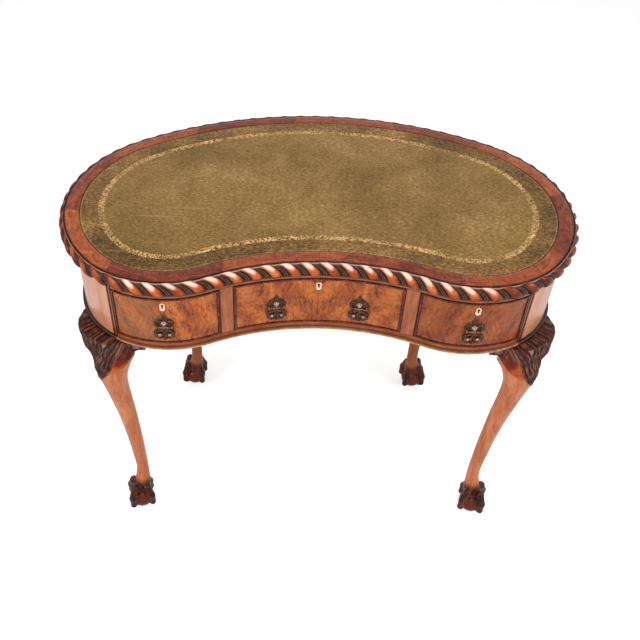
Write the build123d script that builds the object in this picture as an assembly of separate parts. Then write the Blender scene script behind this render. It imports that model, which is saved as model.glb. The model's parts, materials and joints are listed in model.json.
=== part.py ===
from build123d import *
import os
from math import atan2, cos, degrees, hypot, pi, radians, sin, sqrt

# A kidney shaped writing desk, in millimetres.
# +Z is up, the sitter is at -Y, and the desk is symmetric about X = 0.

# Overall sizes
desk_height = 762.0
board_width = 1068.0
board_depth = 635.0
hollow_depth = 69.0
lobe_radius_share = 0.3228
end_radius_share = 0.4661
lobe_turn = -41.6

# Top
board_thickness = 22.0
veneer_thickness = 2.0
band_width = 31.0
leather_thickness = 1.6
rope_reach = 13.3
rope_height = 34.5
rope_round = 10.0

# Frieze
frieze_inset = 1.5
frieze_thickness = 20.0
frieze_side_radius_share = 0.3013
frieze_rear_radius_share = 0.5433
frieze_side_turn = -15.0
frieze_back_in = 12.0
apron_height = 179.0
rail_depth = 55.0
bottom_rail_height = 15.5
drawer_opening_height = 119.0
corner_stile_width = 7.0
stile_to_lobe = 123.0
stile_width = 27.0
partition_thickness = 15.0
bottom_board_thickness = 12.0
panel_split_y = 150.0
bead_reach = 7.0
bead_height = 7.0
bead_round = 3.3

# Drawers
drawer_gap = 1.0
drawer_front_thickness = 22.0
drawer_side_thickness = 9.0
drawer_back_thickness = 8.0
drawer_floor_thickness = 5.0
drawer_floor_lift = 4.0
drawer_box_height = 98.0
drawer_back_drop = 6.0
centre_drawer_back_y = 190.0
side_drawer_back_y = 105.0
cock_bead_width = 3.2
cock_bead_reach = 2.0
cock_bead_let_in = 5.0
runner_width = 14.0
guide_height = 20.0

# Locks
keyhole_drop = 15.5
keyhole_radius = 2.8
keyhole_slot_width = 3.2
keyhole_slot_length = 8.0
escutcheon_width = 11.0
escutcheon_height = 19.0
escutcheon_thickness = 1.2
escutcheon_waist = 0.8
escutcheon_standoff = 0.1
lock_width = 56.0
lock_height = 32.0
lock_thickness = 11.0
lock_cover = 12.0
bolt_width = 18.0
bolt_thickness = 6.0
bolt_height = 14.0
bolt_travel = 6.0
bolt_clearance = 0.3
mortise_clearance = 1.0

# Handles
handle_drop_below = 69.5
centre_handle_share = 0.462
handle_width = 43.0
plate_height = 32.0
plate_thickness = 2.2
plate_standoff = 0.5
plate_crest_share = 0.62
plate_wing_share = 0.4
boss_radius = 4.2
boss_reach = 5.0
lug_spread = 30.0
lug_width = 4.0
lug_height = 7.0
lug_reach = 9.0
pintle_radius = 1.2
pintle_clearance = 0.06
pintle_reach = 6.0
grip_bar_radius = 2.1
drop_length = 31.0
drop_thickness = 3.0
pierce_x_share = 0.42
pierce_y_share = 0.85
pierce_width_share = 0.27
pierce_height_share = 0.22
post_radius = 2.0
post_clearance = 0.1
nut_size = 9.0
nut_thickness = 3.0
nut_bore_clearance = 0.05

# Legs, with each station as its share of the way up from the ankle to the apron,
# a distance out from the board's edge and a radius
front_leg_turn = -58.4
leg_top_out = -14.0
leg_top_radius = 31.0
ankle_height = 60.0
leg_stations = (
    (0.9847, -6.0, 37.5),
    (0.9598, 5.0, 41.5),
    (0.9273, 15.0, 41.0),
    (0.8834, 23.0, 35.5),
    (0.8317, 26.0, 29.5),
    (0.7610, 22.5, 25.0),
    (0.6883, 17.0, 22.8),
    (0.5736, 8.0, 20.3),
    (0.4589, 1.0, 18.2),
    (0.3442, -4.5, 16.6),
    (0.2294, -8.5, 15.2),
    (0.1491, -10.5, 14.5),
    (0.0918, -8.5, 15.8),
    (0.0459, -3.0, 19.5),
    (0.0000, 3.0, 22.5),
)
rear_foot_x = 317.0
rear_foot_y = 128.0
rear_leg_turn = 50.0
spigot_radius = 12.0
spigot_out = -22.0
spigot_short = 1.5

# Feet
foot_out = 7.5
ball_radius = 29.0
ball_flat = 0.5
toe_count = 4
toe_joints = (
    (76.0, 21.0, 10.5),
    (50.0, 32.0, 10.2),
    (25.0, 33.5, 8.5),
)
knuckle_rise = 0.7
talon_height = 8.0
talon_out = 27.0
talon_radius = 2.6

# Knee brackets
bracket_inner = 20.0
bracket_tip_depth = 6.0
front_bracket_turn = 19.0
front_bracket_depth = 52.0
front_undercut_radius = 36.0
front_swell_out = 10.0
side_bracket_turn = 33.0
side_bracket_depth = 88.0
side_undercut_radius = 90.0
side_swell_out = 37.0
side_swell_radius = 82.0
side_swell_turn = 11.0
swell_top_in = 10.0
swell_drop = 18.0
front_swell_foot_in = 12.0
side_swell_foot_in = 30.0

# Fixings
joint_gap = 0.3
block_size = 38.0
top_block_length = 60.0
top_block_width = 22.0
top_block_x = 250.0
top_block_front_x = 120.0
screw_radius = 2.2
screw_head_radius = 4.5
screw_head_height = 3.0
screw_bite = 12.0
screw_clearance = 0.1
cut_over = 5.0

# Heights worked out from the sizes above
board_bottom = desk_height - veneer_thickness - board_thickness
board_top = desk_height - veneer_thickness
rope_bottom = desk_height - rope_height
apron_bottom = desk_height - apron_height
bottom_rail_top = apron_bottom + bottom_rail_height
top_rail_bottom = bottom_rail_top + drawer_opening_height
bottom_board_top = apron_bottom + bottom_board_thickness
guide_thickness = stile_width / 2 + drawer_gap - joint_gap - partition_thickness / 2
front_low = bottom_rail_top + drawer_gap
front_high = top_rail_bottom - drawer_gap
keyhole_z = front_high - keyhole_drop
handle_z = front_high - handle_drop_below
box_low = bottom_rail_top + joint_gap
box_high = box_low + drawer_box_height
floor_low = box_low + drawer_floor_lift
floor_high = floor_low + drawer_floor_thickness

# Insets of the frieze, measured in from the board's edge
panel_inner = frieze_inset + frieze_thickness
rail_inner = frieze_inset + rail_depth
front_inner = frieze_inset + drawer_front_thickness

# Plan of the board: arcs that run on into each other, about the middle of its depth
half_turn = degrees(pi)
turn = radians(lobe_turn)
lobe_radius = lobe_radius_share * board_depth
end_radius = end_radius_share * board_depth
lobe_x = board_width / 2 - end_radius + (end_radius - lobe_radius) * cos(turn)
lobe_y0 = lobe_radius - board_depth / 2
end_x = lobe_x - (end_radius - lobe_radius) * cos(turn)
end_y0 = lobe_y0 - (end_radius - lobe_radius) * sin(turn)
end_fall = end_y0 - board_depth / 2
back_radius = (end_radius**2 - end_x**2 - end_fall**2) / (2 * (end_fall + end_radius))
back_y0 = board_depth / 2 - back_radius
end_turn = atan2(end_y0 - back_y0, end_x)
hollow_radius = (lobe_x**2 / hollow_depth + hollow_depth) / 2 - lobe_radius
hollow_y0 = hollow_depth - board_depth / 2 - hollow_radius
hollow_turn = atan2(hollow_y0 - lobe_y0, -lobe_x)

# Where the frieze's corners, its uprights and the centre handles come
leg_turn = radians(front_leg_turn)
corner_x = lobe_x + lobe_radius * cos(leg_turn)
stile_centre_x = lobe_x - stile_to_lobe
centre_handle_x = centre_handle_share * stile_centre_x

# Plan of the frieze: the board's own front, then from the corners on it turns in under the board
side_turn = radians(frieze_side_turn)
side_radius = frieze_side_radius_share * board_depth
rear_radius = frieze_rear_radius_share * board_depth
side_x = lobe_x - (side_radius - lobe_radius) * cos(leg_turn)
side_y0 = lobe_y0 - (side_radius - lobe_radius) * sin(leg_turn)
rear_x = side_x - (rear_radius - side_radius) * cos(side_turn)
rear_y0 = side_y0 - (rear_radius - side_radius) * sin(side_turn)
rear_fall = rear_y0 - (board_depth / 2 - frieze_back_in)
frieze_back_radius = (rear_radius**2 - rear_x**2 - rear_fall**2) / (2 * (rear_fall + rear_radius))
frieze_back_y0 = board_depth / 2 - frieze_back_in - frieze_back_radius
rear_turn = atan2(rear_y0 - frieze_back_y0, rear_x)

# Where the front feet stand, and the plan's place that centres the whole desk on Y = 0
foot_y0 = lobe_y0 + (lobe_radius + foot_out) * sin(leg_turn)
toe_radius = toe_joints[2][2]
toe_out = toe_joints[2][1]
toe_reach = toe_out * max(abs(sin(leg_turn)), abs(cos(leg_turn))) + toe_radius
front_reach = max(toe_reach - foot_y0, board_depth / 2 + rope_reach)
back_reach = board_depth / 2 + rope_reach
plan_y = (front_reach - back_reach) / 2
lobe_y = lobe_y0 + plan_y
end_y = end_y0 + plan_y
back_y = back_y0 + plan_y
hollow_y = hollow_y0 + plan_y
side_y = side_y0 + plan_y
rear_y = rear_y0 + plan_y
frieze_back_y = frieze_back_y0 + plan_y

# The two outlines, each as the arcs of its right half: centre, radius, start, finish and which way is out
hollow_arc = ((0, hollow_y), hollow_radius, pi + hollow_turn, -hollow_turn, -1)
board = (
    hollow_arc,
    ((lobe_x, lobe_y), lobe_radius, hollow_turn, turn, 1),
    ((end_x, end_y), end_radius, turn, end_turn, 1),
    ((0, back_y), back_radius, end_turn, pi - end_turn, 1),
)
frieze = (
    hollow_arc,
    ((lobe_x, lobe_y), lobe_radius, hollow_turn, leg_turn, 1),
    ((side_x, side_y), side_radius, leg_turn, side_turn, 1),
    ((rear_x, rear_y), rear_radius, side_turn, rear_turn, 1),
    ((0, frieze_back_y), frieze_back_radius, rear_turn, pi - rear_turn, 1),
)


def plan(outline, inset):
    """An outline moved in by inset, as a flat face."""
    edges = []
    for (x, y), radius, start, finish, out in outline:
        sweep = degrees(finish - start)
        size = radius - out * inset
        edges.append(CenterArc((x, y), size, degrees(start), sweep))
        if x > 0:
            edges.append(CenterArc((-x, y), size, half_turn - degrees(start), -sweep))
    return make_face(edges)


def slab(outline, inset, low, high):
    """An outline's face at one inset, from one height to another."""
    return Pos(0, 0, low) * extrude(plan(outline, inset), high - low)


def ring(outline, outer, inner, low, high):
    """The strip between two insets of an outline, from one height to another."""
    return slab(outline, outer, low, high) - slab(outline, inner, low, high)


def block(x_low, x_high, y_low, y_high, z_low, z_high):
    """A box between six planes."""
    centre = Pos((x_low + x_high) / 2, (y_low + y_high) / 2, (z_low + z_high) / 2)
    return centre * Box(x_high - x_low, y_high - y_low, z_high - z_low)


def front_y(x, inset):
    """Y of the front edge at one x, moved in by inset."""
    across = abs(x)
    if across <= lobe_x + (lobe_radius - inset) * cos(hollow_turn):
        return hollow_y + sqrt((hollow_radius + inset) ** 2 - across**2)
    return lobe_y - sqrt((lobe_radius - inset) ** 2 - (across - lobe_x) ** 2)


def front_zone(x_low, x_high, z_low, z_high):
    """All of the desk's front half between two x and two heights."""
    return block(x_low, x_high, -board_depth, lobe_y, z_low, z_high)


def mirrored(solid):
    """The same solid on the other side of X = 0."""
    return mirror(solid, about=Plane.YZ)


def write(name, *solids):
    """One STEP file for one named piece, or for one group of like pieces."""
    shapes = []
    for solid in solids:
        shapes.extend(solid.solids())
    shape = shapes[0] if len(shapes) == 1 else Compound(children=shapes)
    shape.label = name
    export_step(shape, f"parts/{name}.step")


def top_screw_places():
    """Where the blocks under the top stand: three at the back and two at the front."""
    back_inner = frieze_back_radius - panel_inner
    places = []
    for x in (-top_block_x, 0, top_block_x):
        places.append((x, frieze_back_y + sqrt(back_inner**2 - x**2) - top_block_width))
    for x in (-top_block_front_x, top_block_front_x):
        places.append((x, front_y(x, rail_inner) + top_block_width))
    return places


def top_board():
    """The solid groundwork of the top, with the pilot holes of its screws."""
    ground = slab(board, 0, board_bottom, board_top)
    for x, y in top_screw_places():
        pilot = Cylinder(screw_radius + screw_clearance, 2 * screw_bite)
        ground -= Pos(x, y, board_bottom) * pilot
    return ground


def crossbanding():
    """The veneered border round the leather."""
    return ring(board, 0, band_width, board_top, desk_height)


def leather_inset():
    """The leather skiver laid within the border."""
    return slab(board, band_width + joint_gap, board_top, board_top + leather_thickness)


def rope_moulding():
    """The carved edge moulding, here as its plain rounded section."""
    rope = ring(board, -rope_reach, 0, rope_bottom, desk_height)
    outside = []
    for height in (rope_bottom, desk_height):
        level = rope.edges().filter_by_position(Axis.Z, height, height)
        for edge in level:
            middle = edge @ 0.5
            if not plan(board, -rope_reach / 2).is_inside(Vector(middle.X, middle.Y, 0)):
                outside.append(edge)
    return fillet(outside, rope_round)


def base_bead(front):
    """The half round bead along the lower edge of the frieze, in front or round the back."""
    bead = ring(frieze, frieze_inset - bead_reach, frieze_inset, apron_bottom, apron_bottom + bead_height)
    outside = []
    for height in (apron_bottom, apron_bottom + bead_height):
        level = bead.edges().filter_by_position(Axis.Z, height, height)
        for edge in level:
            middle = edge @ 0.5
            if not plan(frieze, frieze_inset - bead_reach / 2).is_inside(Vector(middle.X, middle.Y, 0)):
                outside.append(edge)
    bead = fillet(outside, bead_round)
    zone = front_zone(-corner_x, corner_x, 0, desk_height)
    return bead & zone if front else bead - zone


def frieze_corner():
    """X where the corner stile ends and the end panel begins."""
    return corner_x + corner_stile_width / 2


def end_panel():
    """The curved panel from the right front corner round to the back."""
    panel = ring(frieze, frieze_inset, panel_inner, apron_bottom, board_bottom)
    return panel & block(frieze_corner(), board_width, -board_depth, panel_split_y, 0, desk_height)


def back_panel():
    """The long curved panel across the back."""
    panel = ring(frieze, frieze_inset, panel_inner, apron_bottom, board_bottom)
    return panel & block(-board_width, board_width, panel_split_y, board_depth, 0, desk_height)


def front_rail(low, high):
    """A rail across the whole front, following its curve."""
    edge = frieze_corner()
    return ring(frieze, frieze_inset, rail_inner, low, high) & front_zone(-edge, edge, low, high)


def top_rail():
    """The rail over the drawers, in lengths, with a lip between them that each lock's bolt rises behind."""
    rail = front_rail(top_rail_bottom, board_bottom)
    half = bolt_width / 2 + mortise_clearance
    pieces = []
    start = -board_width
    for x in (-lobe_x, 0, lobe_x):
        lip_back = lock_y(x) - bolt_thickness / 2 - mortise_clearance
        pieces.append(rail & front_zone(start, x - half, 0, desk_height))
        pieces.append(rail & block(x - half, x + half, -board_depth, lip_back, 0, desk_height))
        start = x + half
    pieces.append(rail & front_zone(start, board_width, 0, desk_height))
    return pieces


def bottom_rail():
    """The rail under the drawers, bored for the front legs."""
    rail = front_rail(apron_bottom, bottom_rail_top)
    for side in (-1, 1):
        rail -= leg_frame(side, True) * leg_bore()
    return rail


def stile(x_low, x_high):
    """An upright of the front frame between two x."""
    upright = ring(frieze, frieze_inset, rail_inner, bottom_rail_top, top_rail_bottom)
    return upright & front_zone(x_low, x_high, bottom_rail_top, top_rail_bottom)


def partition():
    """The right hand wall between two drawers."""
    low_x = stile_centre_x - partition_thickness / 2
    high_x = stile_centre_x + partition_thickness / 2
    wall = block(low_x, high_x, -board_depth, board_depth, bottom_board_top, board_bottom)
    wall &= slab(frieze, panel_inner + joint_gap, bottom_board_top, board_bottom)
    start = front_y(stile_centre_x, rail_inner) - cut_over
    behind = block(low_x, high_x, start, board_depth, 0, desk_height)
    return (wall - ring(frieze, 0, rail_inner, 0, desk_height)) & behind


def bottom_board():
    """The board that closes the frieze from below, bored for the rear legs."""
    floor = slab(frieze, panel_inner + joint_gap, apron_bottom, bottom_board_top)
    edge = frieze_corner() + joint_gap
    floor -= ring(frieze, 0, rail_inner + joint_gap, 0, desk_height) & front_zone(-edge, edge, 0, desk_height)
    for side in (-1, 1):
        floor -= leg_frame(side, False) * leg_bore()
    return floor


def runner(outer_x, outward, back):
    """An L shaped strip that carries and guides one drawer side, whose outer face is at outer_x."""
    inner_x = outer_x - outward * runner_width
    guide_x = outer_x + outward * joint_gap
    far_x = guide_x + outward * guide_thickness
    low_x = min(inner_x, far_x)
    high_x = max(inner_x, far_x)
    base = block(low_x, high_x, -board_depth, back, bottom_board_top, bottom_rail_top)
    guide_top = bottom_rail_top + guide_height
    guide = block(min(guide_x, far_x), max(guide_x, far_x), -board_depth, back, bottom_board_top, guide_top)
    front = front_y(outer_x, rail_inner) - cut_over
    strip = (base + guide) & block(-board_width, board_width, front, back, 0, desk_height)
    return strip - ring(frieze, 0, rail_inner + joint_gap, 0, desk_height)


def corner_blocks():
    """Glue blocks behind the front corners and where the back panel meets the end panels."""
    inside = slab(frieze, panel_inner + joint_gap, bottom_board_top, board_bottom)
    edge = frieze_corner() + joint_gap
    front = inside & block(edge, edge + block_size, -board_depth, front_y(edge, panel_inner) + block_size,
                           bottom_board_top, board_bottom)
    split_x = rear_x + sqrt((rear_radius - panel_inner) ** 2 - (panel_split_y - rear_y) ** 2)
    rear = inside & block(split_x - block_size, board_width, panel_split_y - block_size,
                          panel_split_y + block_size / 2, bottom_board_top, board_bottom)
    return [front, rear, mirrored(front), mirrored(rear)]


def top_blocks():
    """Blocks that the top is screwed through, each counterbored from below."""
    blocks = []
    inside = slab(frieze, panel_inner + joint_gap, 0, desk_height) - (
        ring(frieze, 0, rail_inner, 0, desk_height)
        & front_zone(-frieze_corner(), frieze_corner(), 0, desk_height)
    )
    low = board_bottom - top_block_width
    for x, y in top_screw_places():
        half = top_block_length / 2
        piece = block(x - half, x + half, y - top_block_width, y + top_block_width, low, board_bottom)
        piece &= inside
        piece -= Pos(x, y, low) * Cylinder(screw_radius + screw_clearance, 2 * desk_height)
        piece -= Pos(x, y, low) * Cylinder(screw_head_radius + screw_clearance, 2 * screw_head_height)
        blocks.append(piece)
    return blocks


def top_screws():
    """The screws that hold the top, heads down."""
    screws = []
    low = board_bottom - top_block_width
    for x, y in top_screw_places():
        shank_length = board_bottom + screw_bite - screw_clearance - low
        shank = Pos(x, y, low + shank_length / 2) * Cylinder(screw_radius, shank_length)
        head = Pos(x, y, low + screw_head_height / 2) * Cylinder(screw_head_radius, screw_head_height)
        screws.append(shank + head)
    return screws


def leg_frame(side, front):
    """Where a leg stands: its X runs outwards from the board's edge along the leg's own plane."""
    if front:
        angle = leg_turn
        x = corner_x
        y = lobe_y + lobe_radius * sin(angle)
    else:
        angle = radians(rear_leg_turn)
        x = rear_foot_x - foot_out * cos(angle)
        y = rear_foot_y + plan_y - foot_out * sin(angle)
    if side < 0:
        return Location((-x, y, 0), (0, 0, half_turn - degrees(angle)))
    return Location((x, y, 0), (0, 0, degrees(angle)))


def leg_bore():
    """The hole that takes a leg's spigot."""
    bore = Cylinder(spigot_radius + screw_clearance, 2 * bottom_rail_height)
    return Pos(spigot_out, 0, apron_bottom) * bore


def limb(low, high):
    """A tapering bone with a knuckle at its far end, between two (x, y, z, radius) joints."""
    start = Vector(*low[:3])
    finish = Vector(*high[:3])
    along = finish - start
    bone = Cone(low[3] - knuckle_rise, high[3] - knuckle_rise, along.length)
    return Plane(origin=(start + finish) / 2, z_dir=along) * bone + Pos(*high[:3]) * Sphere(high[3])


def toe():
    """One clawed toe, gripping the ball towards +X."""
    joints = [(foot_out + out, 0, height, radius) for height, out, radius in reversed(toe_joints)]
    tip = (foot_out + talon_out, 0, talon_height + talon_radius, talon_radius)
    shape = Pos(*tip[:3]) * Sphere(talon_radius)
    for low, high in zip([tip] + joints, joints):
        shape += limb(low, high)
    return shape


def leg():
    """A cabriole leg with its ball and claw foot and the spigot that holds it."""
    sections = [Pos(leg_top_out, 0, apron_bottom) * Circle(leg_top_radius)]
    for rise_share, out, radius in leg_stations:
        height = ankle_height + rise_share * (apron_bottom - ankle_height)
        sections.append(Pos(out, 0, height) * Circle(radius))
    shape = loft(sections)
    ball = Pos(foot_out, 0, ball_radius - ball_flat) * Sphere(ball_radius)
    shape += ball
    claw = toe()
    for index in range(toe_count):
        turned = Pos(foot_out, 0, 0) * Rot(0, 0, index * 360 / toe_count) * Pos(-foot_out, 0, 0)
        shape += turned * claw
    spigot_length = bottom_board_thickness - spigot_short
    shape += Pos(spigot_out, 0, apron_bottom + spigot_length / 2) * Cylinder(spigot_radius, spigot_length)
    return shape & block(-board_width, board_width, -board_width, board_width, 0, desk_height)


def bracket(swing, depth, swell_out, foot_in, curve):
    """A knee bracket from the leg's plane round to its tip, full below its top and undercut by a round."""
    inner = lobe_radius - bracket_inner
    outer = lobe_radius + swell_out
    top = (outer - swell_top_in, apron_bottom)
    widest = (outer, apron_bottom - swell_drop)
    foot = (outer - foot_in, apron_bottom - depth)
    profile = make_face([
        ThreePointArc(top, widest, foot),
        Polyline(foot, (inner, apron_bottom - depth), (inner, apron_bottom), top),
    ])
    shape = revolve(Plane.XZ * profile, Axis.Z, swing)
    tip = Rot(0, 0, swing) * Pos(lobe_radius, 0, apron_bottom - bracket_tip_depth - curve)
    return shape - tip * Cylinder(curve, 2 * lobe_radius, rotation=(0, 90, 0))


def beside_leg(shape, knee):
    """What the leg leaves of a bracket: the one piece out to its tip."""
    return (shape - knee).solids().sort_by(SortBy.VOLUME)[-1]


def front_bracket(knee):
    """The short bracket under the drawer."""
    shape = bracket(-front_bracket_turn, front_bracket_depth, front_swell_out, front_swell_foot_in,
                    front_undercut_radius)
    return beside_leg(Pos(-lobe_radius, 0, 0) * shape, knee)


def side_bracket(knee):
    """The long bracket under the end panel, whose swelling dies away into the panel's face."""
    swell_angle = radians(side_swell_turn)
    centre_out = lobe_radius + side_swell_out - side_swell_radius
    centre = Pos(centre_out * cos(swell_angle), centre_out * sin(swell_angle), apron_bottom)
    within = centre * Cylinder(side_swell_radius, 2 * side_bracket_depth)
    within += Pos(0, 0, apron_bottom) * Cylinder(lobe_radius - frieze_inset, 2 * side_bracket_depth)
    shape = bracket(side_bracket_turn, side_bracket_depth, side_swell_out, side_swell_foot_in,
                    side_undercut_radius)
    return beside_leg(Pos(-lobe_radius, 0, 0) * (shape & within), knee)


def drawer_span(which):
    """The x of a drawer front's two ends."""
    inner = stile_width / 2 + drawer_gap
    if which == 0:
        return (inner - stile_centre_x, stile_centre_x - inner)
    low = stile_centre_x + inner
    high = corner_x - corner_stile_width / 2 - drawer_gap
    return (low, high) if which > 0 else (-high, -low)


def lock_y(x):
    """Y of the middle of a lock's thickness."""
    return front_y(x, frieze_inset) + lock_cover + lock_thickness / 2


def lock_block(x):
    """The space of a lock's case, let into the back of a drawer front."""
    half = lock_width / 2
    y = lock_y(x)
    return block(x - half, x + half, y - lock_thickness / 2, y + lock_thickness / 2,
                 front_high - lock_height, front_high)


def keyhole(x):
    """The key's way in, from the front to the lock."""
    y = front_y(x, frieze_inset)
    depth = 2 * (lock_cover + lock_thickness)
    eye = Pos(x, y, keyhole_z) * Cylinder(keyhole_radius, depth, rotation=(90, 0, 0))
    half = keyhole_slot_width / 2
    slot = block(x - half, x + half, y - depth / 2, y + depth / 2, keyhole_z - keyhole_slot_length, keyhole_z)
    return eye + slot


def handle_plane(x):
    """A plane on the drawer front at a handle, facing outwards, with its own Y up."""
    y = front_y(x, frieze_inset)
    if abs(x) < stile_centre_x:
        out = Vector(-x, hollow_y - y, 0).normalized()
    else:
        out = Vector(0, y - lobe_y, 0).normalized()
    across = Vector(-out.Y, out.X, 0)
    return Plane(origin=(x, y, handle_z), x_dir=across, z_dir=out)


def handle_posts(x, radius, start, finish):
    """Two round bars through a drawer front, from one depth to another, behind a handle's lugs."""
    bars = []
    for u in (-lug_spread / 2, lug_spread / 2):
        middle = Pos(u, 0, (start + finish) / 2)
        bars.append(handle_plane(x) * middle * Cylinder(radius, finish - start))
    return bars


def cock_bead_frame(which, deep):
    """The rebate round a drawer front that holds its raised bead."""
    low_x, high_x = drawer_span(which)
    frame = front_zone(low_x, high_x, front_low, front_high) - front_zone(
        low_x + cock_bead_width, high_x - cock_bead_width,
        front_low + cock_bead_width, front_high - cock_bead_width,
    )
    return frame & ring(frieze, frieze_inset - cock_bead_reach, frieze_inset + deep, front_low, front_high)


def drawer_front(which, handles):
    """A curved drawer front, cut for its bead, lock, keyhole and handles."""
    low_x, high_x = drawer_span(which)
    front = ring(frieze, frieze_inset, front_inner, front_low, front_high)
    front &= front_zone(low_x, high_x, front_low, front_high)
    front -= cock_bead_frame(which, cock_bead_let_in)
    x = which * lobe_x
    front -= lock_block(x)
    front -= keyhole(x)
    for handle in handles:
        depth = 2 * drawer_front_thickness
        for bar in handle_posts(handle, post_radius + post_clearance, -depth, depth):
            front -= bar
    return front


def drawer_back_y(which):
    """Y of the outside of a drawer's back."""
    return (centre_drawer_back_y if which == 0 else side_drawer_back_y) + plan_y


def drawer_sides(which):
    """The two sides of a drawer."""
    low_x, high_x = drawer_span(which)
    back = drawer_back_y(which)
    behind = slab(frieze, front_inner, box_low, box_high)
    near = block(low_x, low_x + drawer_side_thickness, -board_depth, back, box_low, box_high)
    far = block(high_x - drawer_side_thickness, high_x, -board_depth, back, box_low, box_high)
    return [near & behind, far & behind]


def drawer_back(which):
    """The low back between a drawer's sides."""
    low_x, high_x = drawer_span(which)
    back = drawer_back_y(which)
    return block(low_x + drawer_side_thickness, high_x - drawer_side_thickness,
                 back - drawer_back_thickness, back, floor_high, box_high - drawer_back_drop)


def drawer_floor(which):
    """The bottom of a drawer, between its sides and behind its front."""
    low_x, high_x = drawer_span(which)
    back = drawer_back_y(which)
    floor = block(low_x + drawer_side_thickness, high_x - drawer_side_thickness,
                  -board_depth, back, floor_low, floor_high)
    return floor & slab(frieze, front_inner, floor_low, floor_high)


def bolt_low():
    """The lowest z of a lock's bolt at rest."""
    return front_high - bolt_height


def lock_case(which):
    """A lock's brass case, with the channel that its bolt slides in and the keyhole."""
    x = which * lobe_x
    y = lock_y(x)
    half_width = bolt_width / 2 + bolt_clearance
    half_depth = bolt_thickness / 2 + bolt_clearance
    channel = block(x - half_width, x + half_width, y - half_depth, y + half_depth,
                    bolt_low() - bolt_clearance, desk_height)
    way = keyhole(x) & block(x - half_width, x + half_width, -board_depth, y, 0, desk_height)
    return lock_block(x) - channel - way


def lock_bolt(which):
    """The bolt that rises out of a lock."""
    x = which * lobe_x
    y = lock_y(x)
    return block(x - bolt_width / 2, x + bolt_width / 2, y - bolt_thickness / 2, y + bolt_thickness / 2,
                 bolt_low(), front_high - bolt_clearance)


def escutcheon(which):
    """The brass plate round a keyhole: a round head and foot with a slight waist between."""
    x = which * lobe_x
    head_radius = escutcheon_width / 2
    span = escutcheon_height - escutcheon_width
    waist = Pos(0, -span / 2) * Rectangle(escutcheon_width - escutcheon_waist, span)
    plate = Circle(head_radius) + Pos(0, -span) * Circle(head_radius) + waist
    hole = Circle(keyhole_radius) + Pos(0, -keyhole_slot_length / 2) * Rectangle(keyhole_slot_width,
                                                                                 keyhole_slot_length)
    face = Plane(origin=(x, front_y(x, frieze_inset) - escutcheon_standoff, keyhole_z), x_dir=(1, 0, 0),
                 z_dir=(0, -1, 0))
    return face * extrude(plate - hole, escutcheon_thickness)


def handle_plate(x):
    """The cast back plate of a handle, with its boss, its two lugs and its fixing posts."""
    half = handle_width / 2
    crest = plate_crest_share * plate_height
    shell = Pos(0, crest / 2) * Ellipse(half, crest)
    wing = plate_wing_share * half
    for side in (-1, 1):
        shell += Pos(side * (half - wing), wing) * Circle(wing)
    shell += Pos(0, plate_height - wing) * Circle(wing)
    shell -= Pos(0, -plate_height) * Rectangle(2 * handle_width, 2 * (plate_height - lug_height))
    plate = extrude(shell, plate_thickness)
    base = plate_standoff + plate_thickness
    shape = Pos(0, 0, plate_standoff) * plate
    shape += Pos(0, lug_height, base + boss_reach / 2) * Cone(boss_radius, boss_radius / 2, boss_reach)
    for u in (-lug_spread / 2, lug_spread / 2):
        lug = Pos(u, 0, plate_standoff + lug_reach / 2) * Box(lug_width, lug_height, lug_reach)
        eye = Pos(u, 0, pintle_reach) * Cylinder(pintle_radius + pintle_clearance, 2 * lug_width,
                                                 rotation=(0, 90, 0))
        shape += lug
        shape -= eye
    shape = handle_plane(x) * shape
    depth = drawer_front_thickness + nut_thickness + cock_bead_reach
    for bar in handle_posts(x, post_radius, -depth, plate_standoff + plate_thickness):
        shape += bar
    return shape


def handle_nuts(handles):
    """The square nuts on the posts of a drawer's handles, inside the drawer."""
    nuts = []
    for x in handles:
        plane = handle_plane(x)
        for u in (-lug_spread / 2, lug_spread / 2):
            place = plane * Pos(u, 0, 0)
            inner = seat_depth(x, u)
            nut = Box(nut_size, nut_size, nut_thickness)
            nut -= Cylinder(post_radius + nut_bore_clearance, 2 * nut_thickness)
            nuts.append(place * Pos(0, 0, -inner - nut_thickness / 2) * nut)
    return nuts


def seat_depth(x, u):
    """How deep below a handle's plane a nut sits clear of the front's curved back."""
    if abs(x) < stile_centre_x:
        return drawer_front_thickness + joint_gap
    back = lobe_radius - front_inner
    reach = abs(u) + nut_size / 2
    fall = back - sqrt(back**2 - reach**2)
    return drawer_front_thickness + fall + joint_gap


def handle_drop(x):
    """The pierced drop of a handle, hung on two pintles."""
    half = handle_width / 2
    middle = -drop_length / 2 - grip_bar_radius / 2
    leaf = Pos(0, middle) * Ellipse(half, drop_length / 2)
    pierce_x = pierce_x_share * half
    pierce_size = (pierce_width_share * half, pierce_height_share * drop_length)
    for side in (-1, 1):
        leaf -= Pos(side * pierce_x, pierce_y_share * middle) * Ellipse(*pierce_size)
    leaf -= Pos(0, 0) * Rectangle(2 * handle_width, 2 * lug_height)
    stem_width = lug_spread - 2 * lug_width
    leaf += Pos(0, -lug_height / 2) * Rectangle(stem_width, lug_height + grip_bar_radius)
    body = Pos(0, 0, pintle_reach - drop_thickness / 2) * extrude(leaf, drop_thickness)
    bar_length = lug_spread - 2 * lug_width
    body += Pos(0, 0, pintle_reach) * Cylinder(grip_bar_radius, bar_length, rotation=(0, 90, 0))
    body += Pos(0, 0, pintle_reach) * Cylinder(pintle_radius, lug_spread + lug_width, rotation=(0, 90, 0))
    return handle_plane(x) * body


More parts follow.
